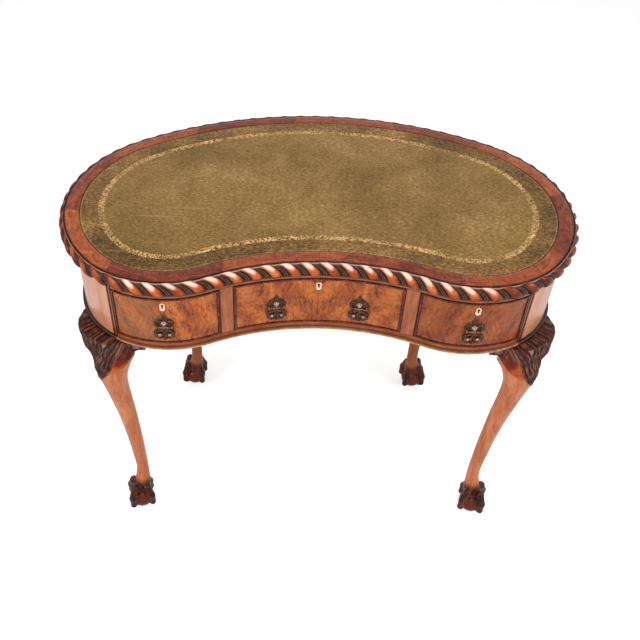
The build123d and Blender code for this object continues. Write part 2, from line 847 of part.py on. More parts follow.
def main():
    os.makedirs("parts", exist_ok=True)

    write("top_board", top_board())
    write("crossbanding", crossbanding())
    write("leather_inset", leather_inset())
    write("rope_moulding", rope_moulding())

    right_panel = end_panel()
    write("right_end_panel", right_panel)
    write("left_end_panel", mirrored(right_panel))
    write("back_panel", back_panel())
    write("top_rail", *top_rail())
    write("bottom_rail", bottom_rail())
    divider = stile(stile_centre_x - stile_width / 2, stile_centre_x + stile_width / 2)
    write("divider_stiles", divider, mirrored(divider))
    corner = stile(corner_x - corner_stile_width / 2, corner_x + corner_stile_width / 2)
    write("corner_stiles", corner, mirrored(corner))
    wall = partition()
    write("partitions", wall, mirrored(wall))
    write("bottom_board", bottom_board())
    write("base_bead", base_bead(True), base_bead(False))
    write("corner_blocks", *corner_blocks())
    write("top_blocks", *top_blocks())
    write("top_screws", *top_screws())

    runners = []
    for which in (-1, 0, 1):
        low_x, high_x = drawer_span(which)
        runners.append(runner(low_x, -1, drawer_back_y(which)))
        runners.append(runner(high_x, 1, drawer_back_y(which)))
    write("drawer_runners", *runners)

    plain_leg = leg()
    brackets = (front_bracket(plain_leg), side_bracket(plain_leg))
    flipped = [mirror(piece, about=Plane.XZ) for piece in brackets]
    rear_brackets = []
    for side, name in ((-1, "left"), (1, "right")):
        place = leg_frame(side, True)
        write(f"front_{name}_leg", place * plain_leg)
        write(f"front_{name}_brackets", *[place * piece for piece in (brackets if side > 0 else flipped)])
        place = leg_frame(side, False)
        write(f"rear_{name}_leg", place * plain_leg)
        rear_brackets.extend(place * piece for piece in (flipped if side > 0 else brackets))
    write("rear_brackets", *rear_brackets)

    drawers = (
        (-1, "left", (-lobe_x,)),
        (0, "centre", (-centre_handle_x, centre_handle_x)),
        (1, "right", (lobe_x,)),
    )
    for which, name, handles in drawers:
        write(f"{name}_drawer_front", drawer_front(which, handles))
        write(f"{name}_cock_bead", cock_bead_frame(which, cock_bead_let_in))
        write(f"{name}_drawer_sides", *drawer_sides(which))
        write(f"{name}_drawer_back", drawer_back(which))
        write(f"{name}_drawer_floor", drawer_floor(which))
        write(f"{name}_lock_case", lock_case(which))
        write(f"{name}_lock_bolt", lock_bolt(which))
        write(f"{name}_escutcheon", escutcheon(which))
        write(f"{name}_handle_nuts", *handle_nuts(handles))
    for name, x in (("left", -lobe_x), ("centre_left", -centre_handle_x),
                    ("centre_right", centre_handle_x), ("right", lobe_x)):
        write(f"{name}_handle_plate", handle_plate(x))
        write(f"{name}_handle_drop", handle_drop(x))


main()
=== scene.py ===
import json
from math import atan2, cos, pi, radians, sin, sqrt

import bpy
import numpy as np
from mathutils import Matrix, Vector
from mathutils.geometry import tessellate_polygon


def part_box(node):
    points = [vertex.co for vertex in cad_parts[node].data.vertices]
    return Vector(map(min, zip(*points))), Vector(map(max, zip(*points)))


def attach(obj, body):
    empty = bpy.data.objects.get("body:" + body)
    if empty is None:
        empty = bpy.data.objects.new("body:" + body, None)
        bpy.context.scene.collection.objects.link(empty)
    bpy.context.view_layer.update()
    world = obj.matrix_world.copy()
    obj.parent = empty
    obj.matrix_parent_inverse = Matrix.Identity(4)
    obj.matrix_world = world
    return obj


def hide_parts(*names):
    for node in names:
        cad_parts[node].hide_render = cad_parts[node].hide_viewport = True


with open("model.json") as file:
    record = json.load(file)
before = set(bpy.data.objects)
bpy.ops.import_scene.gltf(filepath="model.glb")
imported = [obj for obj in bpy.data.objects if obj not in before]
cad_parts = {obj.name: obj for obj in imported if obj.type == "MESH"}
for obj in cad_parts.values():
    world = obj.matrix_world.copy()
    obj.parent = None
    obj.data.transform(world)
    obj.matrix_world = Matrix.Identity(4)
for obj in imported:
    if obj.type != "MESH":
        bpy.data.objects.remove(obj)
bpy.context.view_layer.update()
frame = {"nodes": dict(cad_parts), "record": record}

# A kidney shaped writing desk, in metres, in the frame of the solids. Turns are in degrees.

# Plan of the board, worked out from its width and depth
LOBE_RADIUS_SHARE = 0.3228
END_RADIUS_SHARE = 0.4661
LOBE_TURN = -41.6
HOLLOW_DEPTH = 0.069
FRIEZE_INSET = 0.0015

# Rope moulding: its section is turned from the foot, below, to the lip, above
ROPE_PITCH = 0.0387
ROPE_OUT = 0.004
ROPE_SEMI_OUT = 0.0093
ROPE_ARC = 115.0
ROPE_FOOT = 75.0
ROPE_FOOT_SHARE = 0.75
ROPE_LIP = (86.0, 96.0)
ROPE_SLANT = 0.78
ROPE_SLANT_POWER = 1.5
ROPE_SLANT_LOW = -50.0
ROPE_START = 0.474
ROPE_AROUND = 26
ROPE_SAMPLES = 36
LOBE_SHARE = 0.53
LOBE_FALL = 0.0034
FLUTE_DEPTH = 0.0056
FLUTE_EDGE_SHARE = 0.12
FLUTE_BEAD = 0.0012
FLUTE_BEADS = (0.36, 0.62)
FLUTE_BEAD_SHARE = 0.11

# Rope's painted highlight where its lobes face forward, and the painted light and shade on its lobes
ROPE_HIGHLIGHT_RISING = (-8.0, 52.0)
ROPE_HIGHLIGHT_FALLING = (86.0, 96.0)
ROPE_HIGHLIGHT_SIDE = 0.5
ROPE_HIGHLIGHT_SHARE = 0.3
ROPE_HIGHLIGHT_GAIN_SHARE = 0.75
ROPE_HIGHLIGHT_FACING = (0.3, 0.7)
ROPE_HIGHLIGHT_LEFT = (-0.41, -0.36)
ROPE_HIGHLIGHT_RIGHT = (0.3, 0.36)
ROPE_SIDE_LIGHT_SHARE = 0.12
ROPE_LIT_FROM = (-75.0, 30.0)

# Veneer and leather of the top: insets are taken from the board's edge
BAND_STEPS = 600
BAND_EDGE_DROP = 0.0005
BAND_LIFT = 0.0002
BAND_INSETS = (0.0, 0.001, 0.012, 0.022, 0.0302, 0.031)
BAND_LEAVES = 12
BAND_START = 0.04
BAND_LEVELS = (0.45, 0.6, 0.4, 0.62, 0.42, 0.55, 0.36, 0.6, 0.46, 0.7, 0.38, 0.6)
BAND_SLANTS = (0.6, -0.4, 0.5, -0.3, 0.4, -0.5, 0.3, 0.5, -0.4, 0.3, -0.5, 0.4)
BAND_JOINT = (0.0012, 0.0032)
BAND_OUTER_LINE = (0.001, 0.003)
BAND_INNER_LINE = (0.0292, 0.0306)
LEATHER_STEPS = 720
LEATHER_INSETS = (0.0313, 0.0322, 0.042, 0.06, 0.069, 0.076, 0.083, 0.1, 0.125, 0.15)
LEATHER_EDGE_DROP = 0.0006
LEATHER_GRIME = (0.0315, 0.033)
LEATHER_SEAM = (0.0003, 0.0012)
LEATHER_MIDDLE = (0.072, 0.08)
GILT_INSET = 0.076
GILT_HALF = (0.0058, 0.007)
GILT_LINE_INSET = 0.0338
GILT_LINE = (0.0004, 0.0011)

# Drawer fronts, the painted shade along the gaps round them, and the painted shadow under the rope
STILE_WIDTH = 0.027
DRAWER_GAP = 0.001
COCK_BEAD_WIDTH = 0.0032
LINE_HALF = 0.001
# Painted shadow on the top rail below the rope: how far down it reaches and how softly it fades.
SHADOW_BELOW_ROPE = 0.007
ROPE_SHADOW_BLEND = 0.004
FIGURE_SEAM = (0.0003, 0.0014)
FIGURE_DRIFT = 0.06
LEVEL_FIGURE_RISING = (0.1, 0.14)
LEVEL_FIGURE_FALLING = (0.19, 0.21)
DULL_FIGURE = (-0.3, -0.34)
DEEP_FIGURE_BLEND = 0.01

# Frieze corners and the bead below the drawers
CORNER_TURN = -58.4
CORNER_BEAD_OFFSETS = (-0.0025, 0.0048)
CORNER_BEAD_RADII = (0.0016, 0.0022)
CORNER_BEAD_RISE = 0.0075
CORNER_BEAD_GAP = 0.0005
CORNER_BEAD_OUT_SHARE = 0.8
CORNER_BEAD_STEPS = 10
FOOT_BEAD_TOP = (-0.0026, -0.0014)
FOOT_BEAD_CORNER = 0.003
FOOT_BEAD_BACK = 0.002

# Legs, each in its own frame: X out, Z up, the long bracket towards +Y
REAR_LEG_PLACE = (0.317, 0.128)
REAR_LEG_TURN = 50.0
FOOT_OUT = 0.0075
BALL_RADIUS = 0.029
BALL_BLEND = (0.0004, 0.0018)
LEG_VOXEL = 0.0016
SMOOTH_SHARE = 0.5
KNEE_SMOOTH_ROUNDS = 14
LEG_SMOOTH_ROUNDS = 3
KNEE_FROM = (0.47, 0.5)
KNEE_FIXED_FROM = 0.5815
CARVED_FACING = (-0.45, -0.1)

# Knee's leaf
LEAF_TIP_HEIGHT = 0.498
LEAF_TIP_BLEND = (-0.003, 0.008)
LEAF_TOP_HEIGHT = 0.583
WING_CENTRE = (0.118, 0.487)
LEAF_LOW_EDGE = ((0.498, 0.112), (0.505, 0.1), (0.515, 0.093), (0.583, 0.0905))
LEAF_HIGH_EDGE = ((0.498, 0.1135), (0.51, 0.121), (0.518, 0.128), (0.53, 0.1385), (0.545, 0.149),
                  (0.56, 0.158), (0.583, 0.17))
LEAF_LOW_BLEND = (-0.04, 0.05)
LEAF_HIGH_BLEND = (-0.02, 0.05)
LEAF_STRANDS = 13
LEAF_RAISE = 0.0018
LEAF_WAVES = ((1.5, 5.0, 4.5, 1.3), (0.45, 13.0, 11.0, 0.0), (0.2, 29.0, -31.0, 0.0))
STRAND_DEPTH = 0.0034
STRAND_WAVE_SHARE = 0.25
STRAND_WAVES = 14
RIDGE_POWER = 0.7
SPLIT_POWER = 0.8
SPLIT_DEPTH = 0.0006
CURL_HEIGHT = 0.0012
CURL_WAVES = (21, 3)
GROOVE_REACH = 1.1
GROOVE_SPLIT_SHARE = 0.12
SHOULDER_SWELL = 0.0045
SHOULDER_HEIGHTS = (0.5, 0.575)
SHOULDER_RUN = 0.04

# Ear beside the leaf
EAR_LINE = ((-0.075, 0.583), (-0.068, 0.5775), (-0.055, 0.5725), (-0.045, 0.5655), (-0.04, 0.556),
            (-0.036, 0.546), (-0.032, 0.54), (-0.026, 0.536), (-0.018, 0.533), (-0.008, 0.531), (0.0, 0.529))
EAR_FROM = (0.96, 1.02)
EAR_BLEND = 0.0012
EAR_RAISE = 0.0009
EAR_RIM_HALF = 0.0016
EAR_RIM_BLEND = 0.001
EAR_RIM_RAISE = 0.0012
EAR_HOLLOW_RISING = (0.003, 0.012)
EAR_HOLLOW_FALLING = (0.02, 0.045)
EAR_SCROLL = (-0.021, 0.534)
EAR_SCROLL_RADIUS = 0.0042
EAR_SCROLL_TOP_SHARE = 0.5
EAR_SCROLL_RAISE = 0.0022
EAR_SCROLL_HIGHLIGHT_SHARE = 0.6

# Leg's tones by height, with painted light and shade on the ear, and painted shade on the rear legs
EAR_LIGHT_HEIGHTS = (0.535, 0.575)
FOOT_HEIGHTS = (0.082, 0.104)
REAR_LEG_SHADE_FROM = (0.0, 0.01)

# Handles, each in its own frame: X across, Y up, Z out of the drawer
STILE_TO_LOBE = 0.123
CENTRE_HANDLE_SHARE = 0.462
HANDLE_Z = 0.647
SHELL_MIDDLE = 0.004
SHELL_OUTLINE = ((-20, 0.0192), (0, 0.0205), (20, 0.0212), (40, 0.0204), (58, 0.0205), (72, 0.0208),
                 (80, 0.023), (90, 0.0278))
SHELL_TURN_FROM = -20
SHELL_TURN = 220
SHELL_RINGS = 9
SHELL_AROUND = 108
SHELL_SCALLOPS = 9
SHELL_SCALLOP_SHARE = 0.075
SHELL_SCALLOP_POWER = 0.7
SHELL_BACK = 0.0006
SHELL_EDGE = 0.0006
SHELL_RISE = 0.0026
SHELL_RISE_POWER = 2.4
SHELL_DISH_SHARE = 0.45
SHELL_FLUTE = 0.0009
SHELL_FLUTE_END_SHARE = 0.97
SHELL_LEAF = ((0.006, 0.012, 0.0032), (0.011, 0.015, 0.0034), (0.016, 0.0125, 0.003),
              (0.0185, 0.0065, 0.0022))
SHELL_LEAF_RADIUS = 0.0012
SHELL_CROWN = ((0, 0.0135, 0.0034), (0, 0.02, 0.0034), (0, 0.0255, 0.0026), (0, 0.0308, 0.0016))
SHELL_CROWN_RADIUS = 0.0015
BOSS_PROFILE = ((0.0062, 0.0022), (0.006, 0.0034), (0.0048, 0.0038), (0.0042, 0.0036), (0.0043, 0.005),
                (0.0036, 0.0064), (0.0022, 0.0073), (0.0008, 0.0077))
BOSS_HEIGHT = 0.007
LUG_OUT = 0.015
LUG_PROFILE = ((0.0008, -0.0021), (0.0026, -0.0018), (0.003, 0.0), (0.0026, 0.0018), (0.0008, 0.0021))
POST_RADIUS = 0.002
POST_LENGTH = 0.027
POST_SHORT_OF_PINTLE = 0.001
PINTLE_REACH = 0.006
PINTLE_RADIUS = 0.0011
PINTLE_PAST_LUG = 0.0015
GRIP_PROFILE = ((0.0008, -0.0112), (0.0021, -0.0108), (0.0023, -0.006), (0.0017, -0.0045), (0.0029, -0.002),
                (0.0033, 0.0), (0.0029, 0.002), (0.0017, 0.0045), (0.0023, 0.006), (0.0021, 0.0108),
                (0.0008, 0.0112))
DROP_HALF_THICKNESS = 0.0009
DROP_ROUND = 0.0007
DROP_ROUND_STEPS = 2
DROP_OUTLINE = ((0.0, -0.0035), (0.0085, -0.004), (0.0105, -0.0067), (0.0135, -0.0075), (0.0172, -0.0076),
                (0.0204, -0.0108), (0.0206, -0.0146), (0.0186, -0.0171), (0.0204, -0.0201), (0.0192, -0.0242),
                (0.0148, -0.0254), (0.0132, -0.0285), (0.0086, -0.0293), (0.0058, -0.028), (0.0036, -0.0304),
                (0.0, -0.0313))
DROP_HOLES = (
    ((0.0032, -0.0086), (0.0072, -0.0091), (0.0122, -0.0103), (0.0158, -0.0132), (0.0138, -0.0157),
     (0.0092, -0.0144), (0.0062, -0.0163), (0.0034, -0.014)),
    ((0.0026, -0.0234), (0.0056, -0.0226), (0.0076, -0.0247), (0.0052, -0.0263), (0.0028, -0.0258)),
)
DROP_RIBS = (
    ((0.0, -0.005), (0.0, -0.0126), (0.0, -0.0208), (0.0, -0.0302)),
    ((0.001, -0.0076), (0.008, -0.0072), (0.0162, -0.0091), (0.0186, -0.0138)),
    ((0.0012, -0.0179), (0.0055, -0.0187), (0.0135, -0.0171), (0.018, -0.0199)),
    ((0.0145, -0.0195), (0.017, -0.0226), (0.013, -0.0244), (0.0098, -0.0273)),
)
ROSETTE_PLACE = (0.0098, -0.0194)
ROSETTE_SINK = 0.0006
ROSETTE_PROFILE = ((0.0033, 0.0), (0.0033, 0.0012), (0.0024, 0.0016), (0.0018, 0.0015), (0.0017, 0.0024),
                   (0.0008, 0.003))
RIB_RADIUS = 0.0009
RIB_SINK = 0.0002
RIB_END_SHARE = 0.45
RIB_TAPER_SHARE = 0.08
RIB_STEPS = 8
PATH_STEPS = 6
OUTLINE_STEPS = 4
BOSS_STEPS = 24
GRIP_STEPS = 18
LUG_STEPS = 16
PINTLE_STEPS = 12

# How far each form of a handle is made paler, partly bright wear and partly a painted highlight
BRIGHT_BOSS = 1.0
BRIGHT_TURNED = 0.6
BRIGHT_RIB = 0.45

# Tones as they look, 0 to 255: a ramp gives each its place, and a layer how much it counts
# Rope lobes: painted lit tones on their tops, then painted shaded tones below.
ROPE_LIT_LOBE_TONES = ((0.3, (136, 50, 10)), (0.5, (204, 94, 34)), (0.7, (240, 136, 66)))
ROPE_SHADED_LOBE_TONES = ((0.3, (56, 16, 4)), (0.5, (116, 40, 12)), (0.7, (186, 80, 32)))
# Painted shade in the flutes and at the lobes' edges beside them.
ROPE_FLUTE_SHADE_TONES = ((0.3, (3, 2, 2)), (0.6, (12, 6, 4)), (0.8, (26, 13, 9)))
ROPE_EDGE_SHADE_LAYER = (0.7, (60, 16, 6))
# Painted highlight on the flutes' fine beads.
ROPE_BEAD_HIGHLIGHT_LAYER = (0.75, (150, 120, 100))
# Painted highlight on the forward-facing lobes.
ROPE_HIGHLIGHT_LAYER = (0.9, (252, 224, 204))
ROPE_LIP_LAYER = (1.0, (40, 14, 9))
# Painted highlight along the rope's lip.
ROPE_LIP_HIGHLIGHT_LAYER = (0.7, (214, 164, 142))
BAND_TONES = ((0.2, (66, 14, 4)), (0.38, (104, 36, 14)), (0.5, (140, 60, 26)), (0.62, (168, 82, 36)),
              (0.8, (214, 116, 50)))
BAND_JOINT_LAYER = (0.3, (66, 26, 14))
BAND_LINE_LAYER = (0.85, (24, 8, 5))
LEATHER_FIELD_TONES = ((0.34, (84, 62, 22)), (0.45, (126, 96, 46)), (0.55, (156, 120, 68)),
                       (0.66, (200, 162, 108)))
LEATHER_BORDER_TONES = ((0.38, (48, 34, 12)), (0.46, (100, 72, 34)), (0.54, (142, 104, 56)),
                        (0.63, (196, 152, 94)))
LEATHER_TINT_LAYER = (0.14, (138, 108, 42))
LEATHER_SEAM_LAYER = (0.35, (96, 68, 40))
LEATHER_SCRATCH_LAYER = (0.35, (200, 156, 98))
LEATHER_GRIME_LAYER = (0.7, (40, 26, 14))
GILT_GROUND_LAYER = (0.5, (90, 62, 26))
GILT_DARK_TONE = (222, 160, 84)
GILT_LIGHT_TONE = (252, 208, 138)
FIGURE_TONES = ((0.32, (74, 24, 4)), (0.41, (128, 56, 14)), (0.5, (170, 86, 30)), (0.58, (190, 104, 44)),
                (0.7, (216, 136, 74)))
FIGURE_DULL_LAYER = (0.5, (126, 88, 52))
FIGURE_DEEP_LAYER = (0.42, (92, 30, 6))
FIGURE_SEAM_LAYER = (0.6, (64, 28, 14))
# Painted shade in the gaps and recesses along the beads and rails.
GAP_SHADE_LAYER = (0.85, (26, 9, 5))
# Painted shadow under the rope.
ROPE_SHADOW_LAYER = (0.85, (44, 14, 8))
SHAFT_TONES = ((0.3, (146, 76, 40)), (0.46, (186, 106, 62)), (0.58, (206, 126, 80)), (0.75, (224, 152, 104)))
# Painted shade on the rear legs.
REAR_LEG_SHADE_LAYER = (0.62, (104, 48, 22))
FOOT_TONES = ((0.3, (30, 8, 2)), (0.5, (70, 26, 10)), (0.72, (122, 60, 30)))
BALL_LAYER = (0.85, (104, 40, 16))
LEAF_TONES = ((0.3, (30, 8, 3)), (0.5, (64, 24, 11)), (0.72, (112, 54, 32)))
# Painted highlight on the leaf's crests.
CREST_HIGHLIGHT_LAYER = (0.4, (172, 108, 76))
# Painted shade in the leaf's grooves.
GROOVE_SHADE_LAYER = (0.95, (16, 6, 3))
EAR_TONES = ((0.36, (46, 9, 2)), (0.5, (112, 38, 9)), (0.62, (190, 88, 32)))
# Painted highlight on the ear's rim and scroll.
EAR_RIM_HIGHLIGHT_LAYER = (0.6, (176, 112, 74))
FRAME_TONES = ((0.3, (126, 62, 34)), (0.48, (166, 92, 54)), (0.6, (184, 108, 68)), (0.75, (206, 132, 88)))
LOW_RAIL_TONES = ((0.3, (118, 54, 24)), (0.48, (158, 84, 44)), (0.6, (178, 102, 60)), (0.75, (198, 126, 84)))
PANEL_TONES = ((0.3, (172, 102, 66)), (0.48, (206, 136, 96)), (0.6, (218, 152, 112)), (0.75, (232, 174, 138)))
COCK_BEAD_TONES = ((0.3, (62, 18, 8)), (0.55, (100, 36, 20)), (0.75, (150, 74, 48)))
CORNER_BEAD_TONES = ((0.3, (38, 10, 4)), (0.55, (70, 24, 12)), (0.75, (108, 46, 26)))
# Pale painted highlight on the front's bead between the corners.
FOOT_BEAD_HIGHLIGHT_TONES = ((0.3, (172, 98, 54)), (0.55, (208, 140, 90)), (0.75, (232, 174, 124)))
FOOT_BEAD_DARK_TONES = ((0.3, (22, 9, 5)), (0.55, (44, 19, 11)), (0.75, (74, 36, 24)))
FOOT_BEAD_TOP_LAYER = (0.8, (74, 30, 16))
PINE_TONES = ((0.3, (150, 118, 82)), (0.5, (176, 142, 102)), (0.75, (196, 164, 122)))
OAK_TONES = ((0.3, (140, 108, 76)), (0.5, (170, 136, 98)), (0.75, (190, 156, 116)))
ESCUTCHEON_TONES = ((232, 206, 162), (250, 234, 204))
LOCK_TONES = ((140, 112, 66), (180, 152, 98))
BRONZE_TONES = ((34, 20, 15), (112, 74, 54))
# Paler tones on the handles' raised parts: partly bright wear, partly a painted highlight.
BRONZE_RUB_AND_HIGHLIGHT_TONES = ((0.5, (136, 100, 78)), (0.95, (188, 166, 146)))
STEEL_TONES = ((120, 118, 114), (160, 158, 152))

# Noises: how fine, detail, roughness and distortion; the range in which most of a noise lies
MOST_NOISE = (0.3, 0.7)
BROAD_GRAIN = (4.0, 0.55, 1.2)
BROAD_GRAIN_SHARE = 0.68
FINE_GRAIN = (3.0, 0.6, 0.3)
FINE_GRAIN_TIMES = 6
PORE_TIMES = 20
PORE_DETAIL = 2.0
WALNUT_PATCH = (9.0, 2.0)
PATCH_SHARE = 0.3
BEAD_GRAIN = (70.0, 4.0, 0.6, 0.6)
FOOT_BEAD_GRAIN = (60.0, 4.0, 0.6, 0.6)
ROPE_PATCH = (34.0, 4.0, 0.6)
ROPE_FINE = (220.0, 2.0)
# How quickly the painted shade at the lobes' edges falls off.
ROPE_EDGE_SHADE_POWER = 2.2
# How patchy and how strong the rope's painted highlight is.
ROPE_HIGHLIGHT_SPREAD = (-0.16, 0.12)
ROPE_HIGHLIGHT_FROM = (0.08, 0.98)
# Where the painted highlight lies on the rope's lip.
ROPE_LIP_HIGHLIGHT_RISING = (0.1, 0.5)
ROPE_LIP_HIGHLIGHT_FALLING = (0.5, 0.9)
BAND_BROAD = (26.0, 60.0, 5.0, 0.65, 1.4)
BAND_STREAKS = (260.0, 90.0, 3.0, 0.6, 0.6)
BAND_STREAK_SHARE = 0.25
BAND_LEVEL_SPREAD = (-0.3, 0.3)
BAND_FINE = (300.0, 2.0)
LEATHER_CLOUD = (6.0, 4.0, 0.6, 0.4)
LEATHER_CLOUD_SHARE = 0.35
LEATHER_SPECK = (150.0, 5.0, 0.7, 0.3)
LEATHER_SPECK_STRETCH = (1.0, 1.6, 1.0)
LEATHER_TINT = (14.0, 4.0, 0.65, 0.6)
LEATHER_TINT_FROM = (0.42, 0.62)
LEATHER_PEBBLE = (620.0, 3.0, 0.6)
PEBBLE_HEIGHT_SHARE = 0.5
SCRATCH = (1.6, 2.0, 0.4)
SCRATCH_STRETCH = (3.0, 60.0, 1.0)
SCRATCH_TURN = 0.5
SCRATCH_FROM = (0.66, 0.7)
SCRATCH_PATCH = (4.0, 1.0)
SCRATCH_PATCH_FROM = (0.52, 0.62)
GILT_SWIRL = (170.0, 3.0, 0.6, 1.6)
GILT_SWIRL_FROM = (0.5, 0.56)
GILT_DOTS = 190.0
GILT_DOTS_TO = (0.3, 0.5)
GILT_LOSS = (16.0, 3.0, 0.6)
GILT_LOSS_FROM = (0.35, 0.6)
GILT_LEAST_SHARE = 0.4
GILT_LINE_LOSS = (140.0, 3.0, 0.7)
GILT_LINE_LOSS_FROM = (0.4, 0.6)
GILT_LINE_SHARE = 0.5
GILT_TONE_FROM = (0.35, 0.65)
GILT_SHARE = 0.95
GILT_HEIGHT_SHARE = 0.8
FIGURE_ACROSS = 90.0
FIGURE_UP = 30.0
FIGURE_WARP = (9.0, 4.0, 0.55, 0.6)
FIGURE_WARP_TURNS = 18.0
FIGURE_SWIRL = (11.0, 3.0, 0.5, 0.5)
FIGURE_MOTTLE = ((1.0, 1.0, 0.5), 110.0, 5.0, 0.7, 1.6)
FIGURE_UPRIGHT = ((1.0, 1.0, 0.12), 260.0, 3.0, 0.6, 0.8)
FIGURE_LEVEL = ((0.1, 1.0, 1.0), 230.0, 3.0, 0.6, 0.8)
FIGURE_BAND_SHARE = 0.12
FIGURE_MOTTLE_SHARE = 0.48
FIGURE_STREAK_SHARE = 0.4
FIGURE_DULL = (9.0, 3.0, 0.55, 0.8)
FIGURE_DULL_FROM = (0.3, 0.5)
# Painted light on the ear: lighter low down, shaded towards the frieze, and how much that counts against its
# patches.
EAR_LIGHT_LEVELS = (0.72, 0.3)
EAR_LIGHT_SHARE = 0.6
EAR_PATCH = (46.0, 3.0, 0.5)
# Where the painted highlight lies on the leaf's crests.
CREST_FLECK = (70.0, 3.0, 0.6)
CREST_FLECK_FROM = (0.42, 0.62)
CREST_TO = (0.08, 0.16)
# Where the painted shade begins in the grooves.
GROOVE_FROM = (0.24, 0.75)
LEG_FINE = (300.0, 2.0)
LEG_FINE_STRETCH = (1.0, 1.0, 0.2)
METAL_SPECK = (4.0, 0.6)
METAL_SPECK_FROM = (0.35, 0.65)
METAL_RUBBED_FROM = (0.35, 0.6)
METAL_LEAST_SHARE = 0.35

# Roughness of the surfaces, and their relief as a height and a strength
COAT_SHARE = 0.4
COAT_ROUGHNESS = 0.1
WALNUT_ROUGHNESS = (0.25, 0.38)
VENEER_ROUGHNESS = (0.24, 0.36)
BEAD_ROUGHNESS = (0.22, 0.36)
ROPE_ROUGHNESS = (0.26, 0.55)
LEG_ROUGHNESS = (0.24, 0.5)
LEATHER_ROUGHNESS = (0.55, 0.38)
PLAIN_WOOD_ROUGHNESS = 0.65
METAL_SMOOTHER = 0.08
METAL_ROUGHER = 0.12
WALNUT_RELIEF = (0.0002, 0.25)
VENEER_RELIEF = (0.0002, 0.2)
BEAD_RELIEF = (0.0002, 0.25)
ROPE_RELIEF = (0.0002, 0.3)
LEG_RELIEF = (0.0002, 0.3)
METAL_RELIEF = (0.0002, 0.35)
LEATHER_RELIEF = (0.0003, 0.4)
PLAIN_WOOD_RELIEF = (0.0004, 0.3)

# Lamps: place, aim, size and power
LAMPS = {
    "left_lamp": ((-2.7, -2.1, 1.9), (0, 0, 0.5), (1.1, 1.1), 42.0),
    "right_lamp": ((2.8, -1.7, 1.8), (0, 0, 0.5), (1.1, 1.1), 34.0),
    "top_lamp": ((0.2, 0.9, 3.2), (0, 0, 0.6), (1.6, 1.6), 6.0),
    "strip_lamp": ((0.0, -1.6, 2.6), (0, -0.25, 0.75), (0.5, 2.2), 22.0),
}
SURROUNDING_LIGHT = 0.44
WHITE = (1, 1, 1, 1)
FLOOR_COLOUR = (0.9, 0.9, 0.9, 1)
FLOOR_REACH = 12.0
FLOOR_LIFT = 0.5

# Camera
CAMERA_PLACE = (-0.08967, -1.42593, 1.71644)
CAMERA_YAW = -0.0124
CAMERA_PITCH = 0.7505
CAMERA_ROLL = 0.0059
CAMERA_LENS = 43.76
CAMERA_SENSOR = 36.0
CAMERA_SHIFT = (0.0835, -0.0087)

board_low, board_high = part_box("top_board")
rope_low, rope_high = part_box("rope_moulding")
leather_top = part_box("leather_inset")[1].z
panel_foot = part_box("right_end_panel")[0].z
rail_low, rail_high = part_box("bottom_rail")
front_low, front_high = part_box("right_cock_bead")
top_rail_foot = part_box("top_rail")[0].z
bead_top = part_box("base_bead")[1].z

width = board_high.x - board_low.x
depth = board_high.y - board_low.y
lobe_radius = LOBE_RADIUS_SHARE * depth
end_radius = END_RADIUS_SHARE * depth
lobe_turn = radians(LOBE_TURN)
lobe_x = width / 2 - end_radius + (end_radius - lobe_radius) * cos(lobe_turn)
lobe_y = lobe_radius - depth / 2
end_x = lobe_x - (end_radius - lobe_radius) * cos(lobe_turn)
end_y = lobe_y - (end_radius - lobe_radius) * sin(lobe_turn)
end_fall = end_y - depth / 2
back_radius = (end_radius**2 - end_x**2 - end_fall**2) / (2 * (end_fall + end_radius))
back_y = depth / 2 - back_radius
end_turn = atan2(end_y - back_y, end_x)
hollow_radius = (lobe_x**2 / HOLLOW_DEPTH + HOLLOW_DEPTH) / 2 - lobe_radius
hollow_y = HOLLOW_DEPTH - depth / 2 - hollow_radius
hollow_turn = atan2(hollow_y - lobe_y, -lobe_x)
corner_turn = radians(CORNER_TURN)
corner_x = lobe_x + lobe_radius * cos(corner_turn)
corner_y = lobe_y + lobe_radius * sin(corner_turn)
stile_x = lobe_x - STILE_TO_LOBE


# Outline

def outline_arcs():
    """The board's edge from its front on: each arc's centre, radius, start, finish and outward sign."""
    right = [
        ((0.0, hollow_y), hollow_radius, pi / 2, hollow_turn + pi, -1),
        ((lobe_x, lobe_y), lobe_radius, hollow_turn, lobe_turn, 1),
        ((end_x, end_y), end_radius, lobe_turn, end_turn, 1),
        ((0.0, back_y), back_radius, end_turn, pi / 2, 1),
    ]
    left = []
    for (x, y), radius, start, finish, sign in reversed(right):
        left.append(((-x, y), radius, pi - finish, pi - start, sign))
    return right + left


arcs = outline_arcs()
arc_ends = np.cumsum([radius * abs(finish - start) for _, radius, start, finish, _ in arcs])
rim_length = float(arc_ends[-1])


def rim(run):
    """Points of the board's edge and the outward directions there, at distances run along it."""
    index = np.minimum(np.searchsorted(arc_ends, run), len(arcs) - 1)
    points = np.zeros((len(run), 2))
    normals = np.zeros((len(run), 2))
    for number, ((x, y), radius, start, finish, sign) in enumerate(arcs):
        here = index == number
        before = arc_ends[number] - radius * abs(finish - start)
        turned = start + np.sign(finish - start) * (run[here] - before) / radius
        direction = np.stack([np.cos(turned), np.sin(turned)], 1)
        points[here] = np.array([x, y]) + radius * direction
        normals[here] = sign * direction
    return points, normals


def even_run(steps):
    """Even distances once round the board's edge."""
    return np.arange(steps) * rim_length / steps


def rim_points(run, insets, heights):
    """Points of the sections round the board: insets and heights are arrays of run by section."""
    points, normals = rim(run)
    plan = points[:, None, :] - insets[:, :, None] * normals[:, None, :]
    return np.concatenate([plan, heights[:, :, None]], 2).reshape(-1, 3)


def smooth_step(value, low, high):
    """0 below low, 1 above high and eased between."""
    share = np.clip((value - low) / (high - low), 0, 1)
    return share * share * (3 - 2 * share)


def table_value(value, table):
    """A value read from a table of (place, value)."""
    places, values = zip(*table)
    return np.interp(value, places, values)


# Meshes

